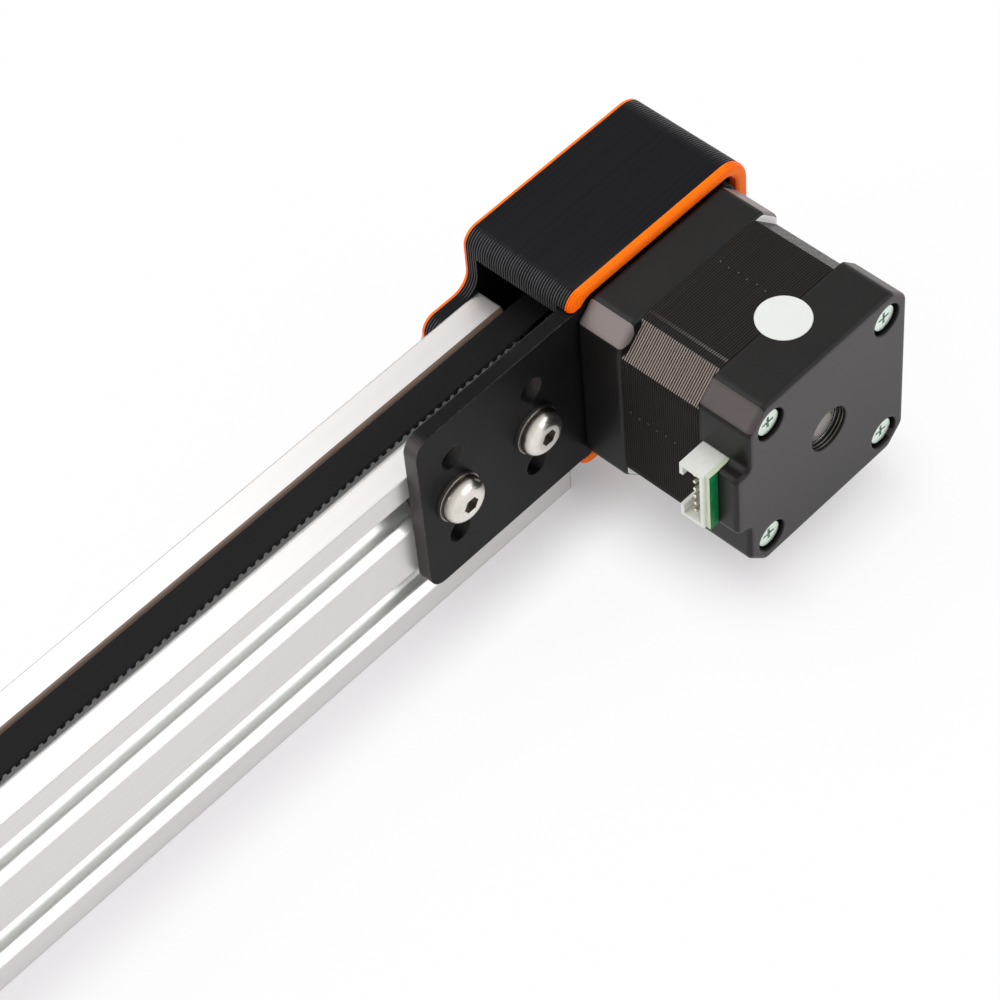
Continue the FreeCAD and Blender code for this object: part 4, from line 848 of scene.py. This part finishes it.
def boltEnds():
    idler = middleOf("idler_bolt")
    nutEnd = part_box("idler_nut")[1].y
    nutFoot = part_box("wheel_nuts")[0].z
    bolts = {
        "idler": ("frame", axisY, [Vector((idler.x, nutEnd, idler.z))]),
        "wheel": ("carriage", -axisZ, [Vector((*middleOf(name).xy, nutFoot)) for name in wheelNames]),
    }
    for name, (body, axis, ends) in bolts.items():
        crests, rings = bmesh.new(), bmesh.new()
        for end in ends:
            addThread(crests, axis, end)
            addInsert(rings, axis, end)
        newPiece(name + "BoltThread", crests, metals["stainlessScrew"], body)
        newPiece(name + "NutInsert", rings, plastics["nutInsert"], body)


boltEnds()


# Rubber seals on the open faces of the wheel and idler bearings
seal = {"inner": 0.0047, "outer": 0.0066, "rise": 0.00008, "dish": 0.00004, "lip": 0.0003}


def bearingSeals():
    inner, outer, rise, dish, lip = (seal[key] for key in ("inner", "outer", "rise", "dish", "lip"))
    outline = [(inner, -rise), (outer, -rise), (outer, dish), (outer - lip, rise),
               (inner + lip, rise), (inner, dish)]
    turning = {name: (axisZ, "wheel_black") for name in wheelNames}
    turning["idler"] = (axisY, "idler_black")
    for body, (axis, slot) in turning.items():
        low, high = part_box(body + "_bearing_shells")
        centre = (low + high) / 2
        reach = axis * ((high - low).dot(axis) / 2)
        shape = bmesh.new()
        for side in (1, -1):
            addRing(shape, outline, axis * side, centre + reach * side)
        newPiece(body + "BearingSeal", shape, plastics["sealRubber"], body)


bearingSeals()
print("bolt ends and bearing seals built")


# White floor and room: how much they glow, and the shaded patch that top faces mirror
stage = {
    "floorSize": 6.0, "floorDrop": 0.0002, "glow": 0.92, "mottle": 30.0,
    "floorWhite": (0.93, 0.885, 0.935), "floorPale": (0.96, 0.915, 0.965),
    "fill": 0.68, "shadeTowards": (0.42, 0.46, 0.78), "shadeLevel": 0.70, "shadeBand": (0.80, 0.97),
}
black, white = (0.0, 0.0, 0.0), (1.0, 1.0, 1.0)

# Footprints whose contact shade the floor keeps: middle, half sizes, least glow and its reach
footprints = (
    {"x": 0.0, "y": 0.0, "halfX": 0.30, "halfY": 0.009, "least": 0.38, "reach": 0.017},
    {"x": motorAxis.x, "y": -0.027, "halfX": 0.012, "halfY": 0.018, "least": 0.44, "reach": 0.021},
)


def floorGlow(x, y):
    glow = stage["glow"]
    for foot in footprints:
        outX = x.math("MAXIMUM", abs(x - foot["x"]) - foot["halfX"], 0.0)
        outY = x.math("MAXIMUM", abs(y - foot["y"]) - foot["halfY"], 0.0)
        beyond = x.math("SQRT", outX * outX + outY * outY)
        clear = spread(beyond, 0.0, foot["reach"], "SMOOTHSTEP")
        glow = (clear * (1 - foot["least"]) + foot["least"]) * glow
    return glow


def stageFloor():
    shape = bmesh.new()
    bmesh.ops.create_grid(shape, x_segments=1, y_segments=1, size=stage["floorSize"] / 2)
    bmesh.ops.translate(shape, verts=shape.verts, vec=(0, 0, cadBox[0].z - stage["floorDrop"]))
    mesh = bpy.data.meshes.new("studioFloor")
    shape.to_mesh(mesh)
    shape.free()
    floor = bpy.data.objects.new("studioFloor", mesh)
    bpy.context.scene.collection.objects.link(floor)
    made, graph = startMaterial("studioFloor")
    point = objectPoint(graph)
    mottle = noise(point, stage["mottle"])
    colour = blendColours(mottle, stage["floorWhite"], stage["floorPale"])
    matte = graph.add("ShaderNodeBsdfDiffuse", {}, {0: colour})
    glow = graph.add("ShaderNodeEmission", {}, {0: paint(white), 1: 1.0})
    share = floorGlow(*splitUp(point)[:2])
    mixed = graph.add("ShaderNodeMixShader", {}, {0: share, 1: matte, 2: glow})
    finishTree(graph, mixed, "ShaderNodeOutputMaterial")
    mesh.materials.append(made)


# White for the camera and in reflections, apart from the shaded patch, and dimmer as light
def stageWorld():
    world = bpy.data.worlds.new("studioWorld")
    bpy.context.scene.world = world
    world.use_nodes = True
    world.node_tree.nodes.clear()
    graph = Sock(world.node_tree)
    seen = graph.add("ShaderNodeLightPath", output="Is Camera Ray")
    rays = seen.out.node.outputs
    mirrored = graph.math("MAXIMUM", Sock(graph.tree, rays["Is Glossy Ray"]),
                          Sock(graph.tree, rays["Is Transmission Ray"]))
    towards = graph.add("ShaderNodeTexCoord", output="Generated")
    patch = spread(dotted(towards, stage["shadeTowards"]), *stage["shadeBand"])
    room = 1 - patch * (1 - stage["shadeLevel"])
    level = seen + (1 - seen) * (mirrored * room + (1 - mirrored) * stage["fill"])
    back = graph.add("ShaderNodeBackground", {}, {0: blendColours(level, black, white), 1: 1.0})
    finishTree(graph, back, "ShaderNodeOutputWorld")


# Soft lamps: place from the point they aim at, size in metres, power in watts
lamps = {
    "keyBehindLeft": {"from": (-0.94, 0.56, 0.52), "size": 0.6, "power": 4.8, "colour": (1.0, 0.93, 0.90)},
    "overhead": {"from": (0.0, 0.54, 1.07), "size": 0.8, "power": 4.4, "colour": white},
    "frontSoftbox": {"from": (0.50, -0.94, 0.55), "size": 0.9, "power": 3.6, "colour": white},
}
aimFromMotor = -0.05


def stageLamps():
    target = Vector((motorAxis.x + aimFromMotor, 0, axleHeight))
    for name, lamp in lamps.items():
        data = bpy.data.lights.new(name, "AREA")
        data.size = lamp["size"]
        data.energy = lamp["power"]
        data.color = lamp["colour"]
        item = bpy.data.objects.new(name, data)
        item.location = target + Vector(lamp["from"])
        item.visible_camera = False
        item.rotation_mode = "QUATERNION"
        item.rotation_quaternion = (target - item.location).to_track_quat("-Z", "Y")
        bpy.context.scene.collection.objects.link(item)


# Camera fitted to the photograph: place from the motor's end, angles in degrees, lens in mm
view = {"fromMotor": (-0.3154, -0.31365, 0.52682), "azimuth": -42.15, "elevation": 51.41, "roll": -5.84,
        "lens": 130.94, "sensor": 36.0, "near": 0.01, "far": 50.0}


def photoCamera():
    data = bpy.data.cameras.new("photoCamera")
    data.lens = view["lens"]
    data.sensor_width = view["sensor"]
    data.clip_start = view["near"]
    data.clip_end = view["far"]
    item = bpy.data.objects.new("photoCamera", data)
    bpy.context.scene.collection.objects.link(item)
    azimuth, elevation, roll = (math.radians(view[key]) for key in ("azimuth", "elevation", "roll"))
    reach = math.cos(elevation)
    back = Vector((math.sin(azimuth) * reach, -math.cos(azimuth) * reach, math.sin(elevation)))
    level = (-back).cross(axisZ).normalized()
    upright = level.cross(-back)
    right = level * math.cos(roll) + upright * math.sin(roll)
    up = upright * math.cos(roll) - level * math.sin(roll)
    turn = Matrix((right, up, back)).transposed().to_4x4()
    place = Vector(view["fromMotor"]) + Vector((motorAxis.x, 0, 0))
    item.matrix_world = Matrix.Translation(place) @ turn
    bpy.context.scene.camera = item


stageFloor()
stageWorld()
stageLamps()
photoCamera()
bpy.context.scene.view_settings.view_transform = "Standard"
print("stage set")
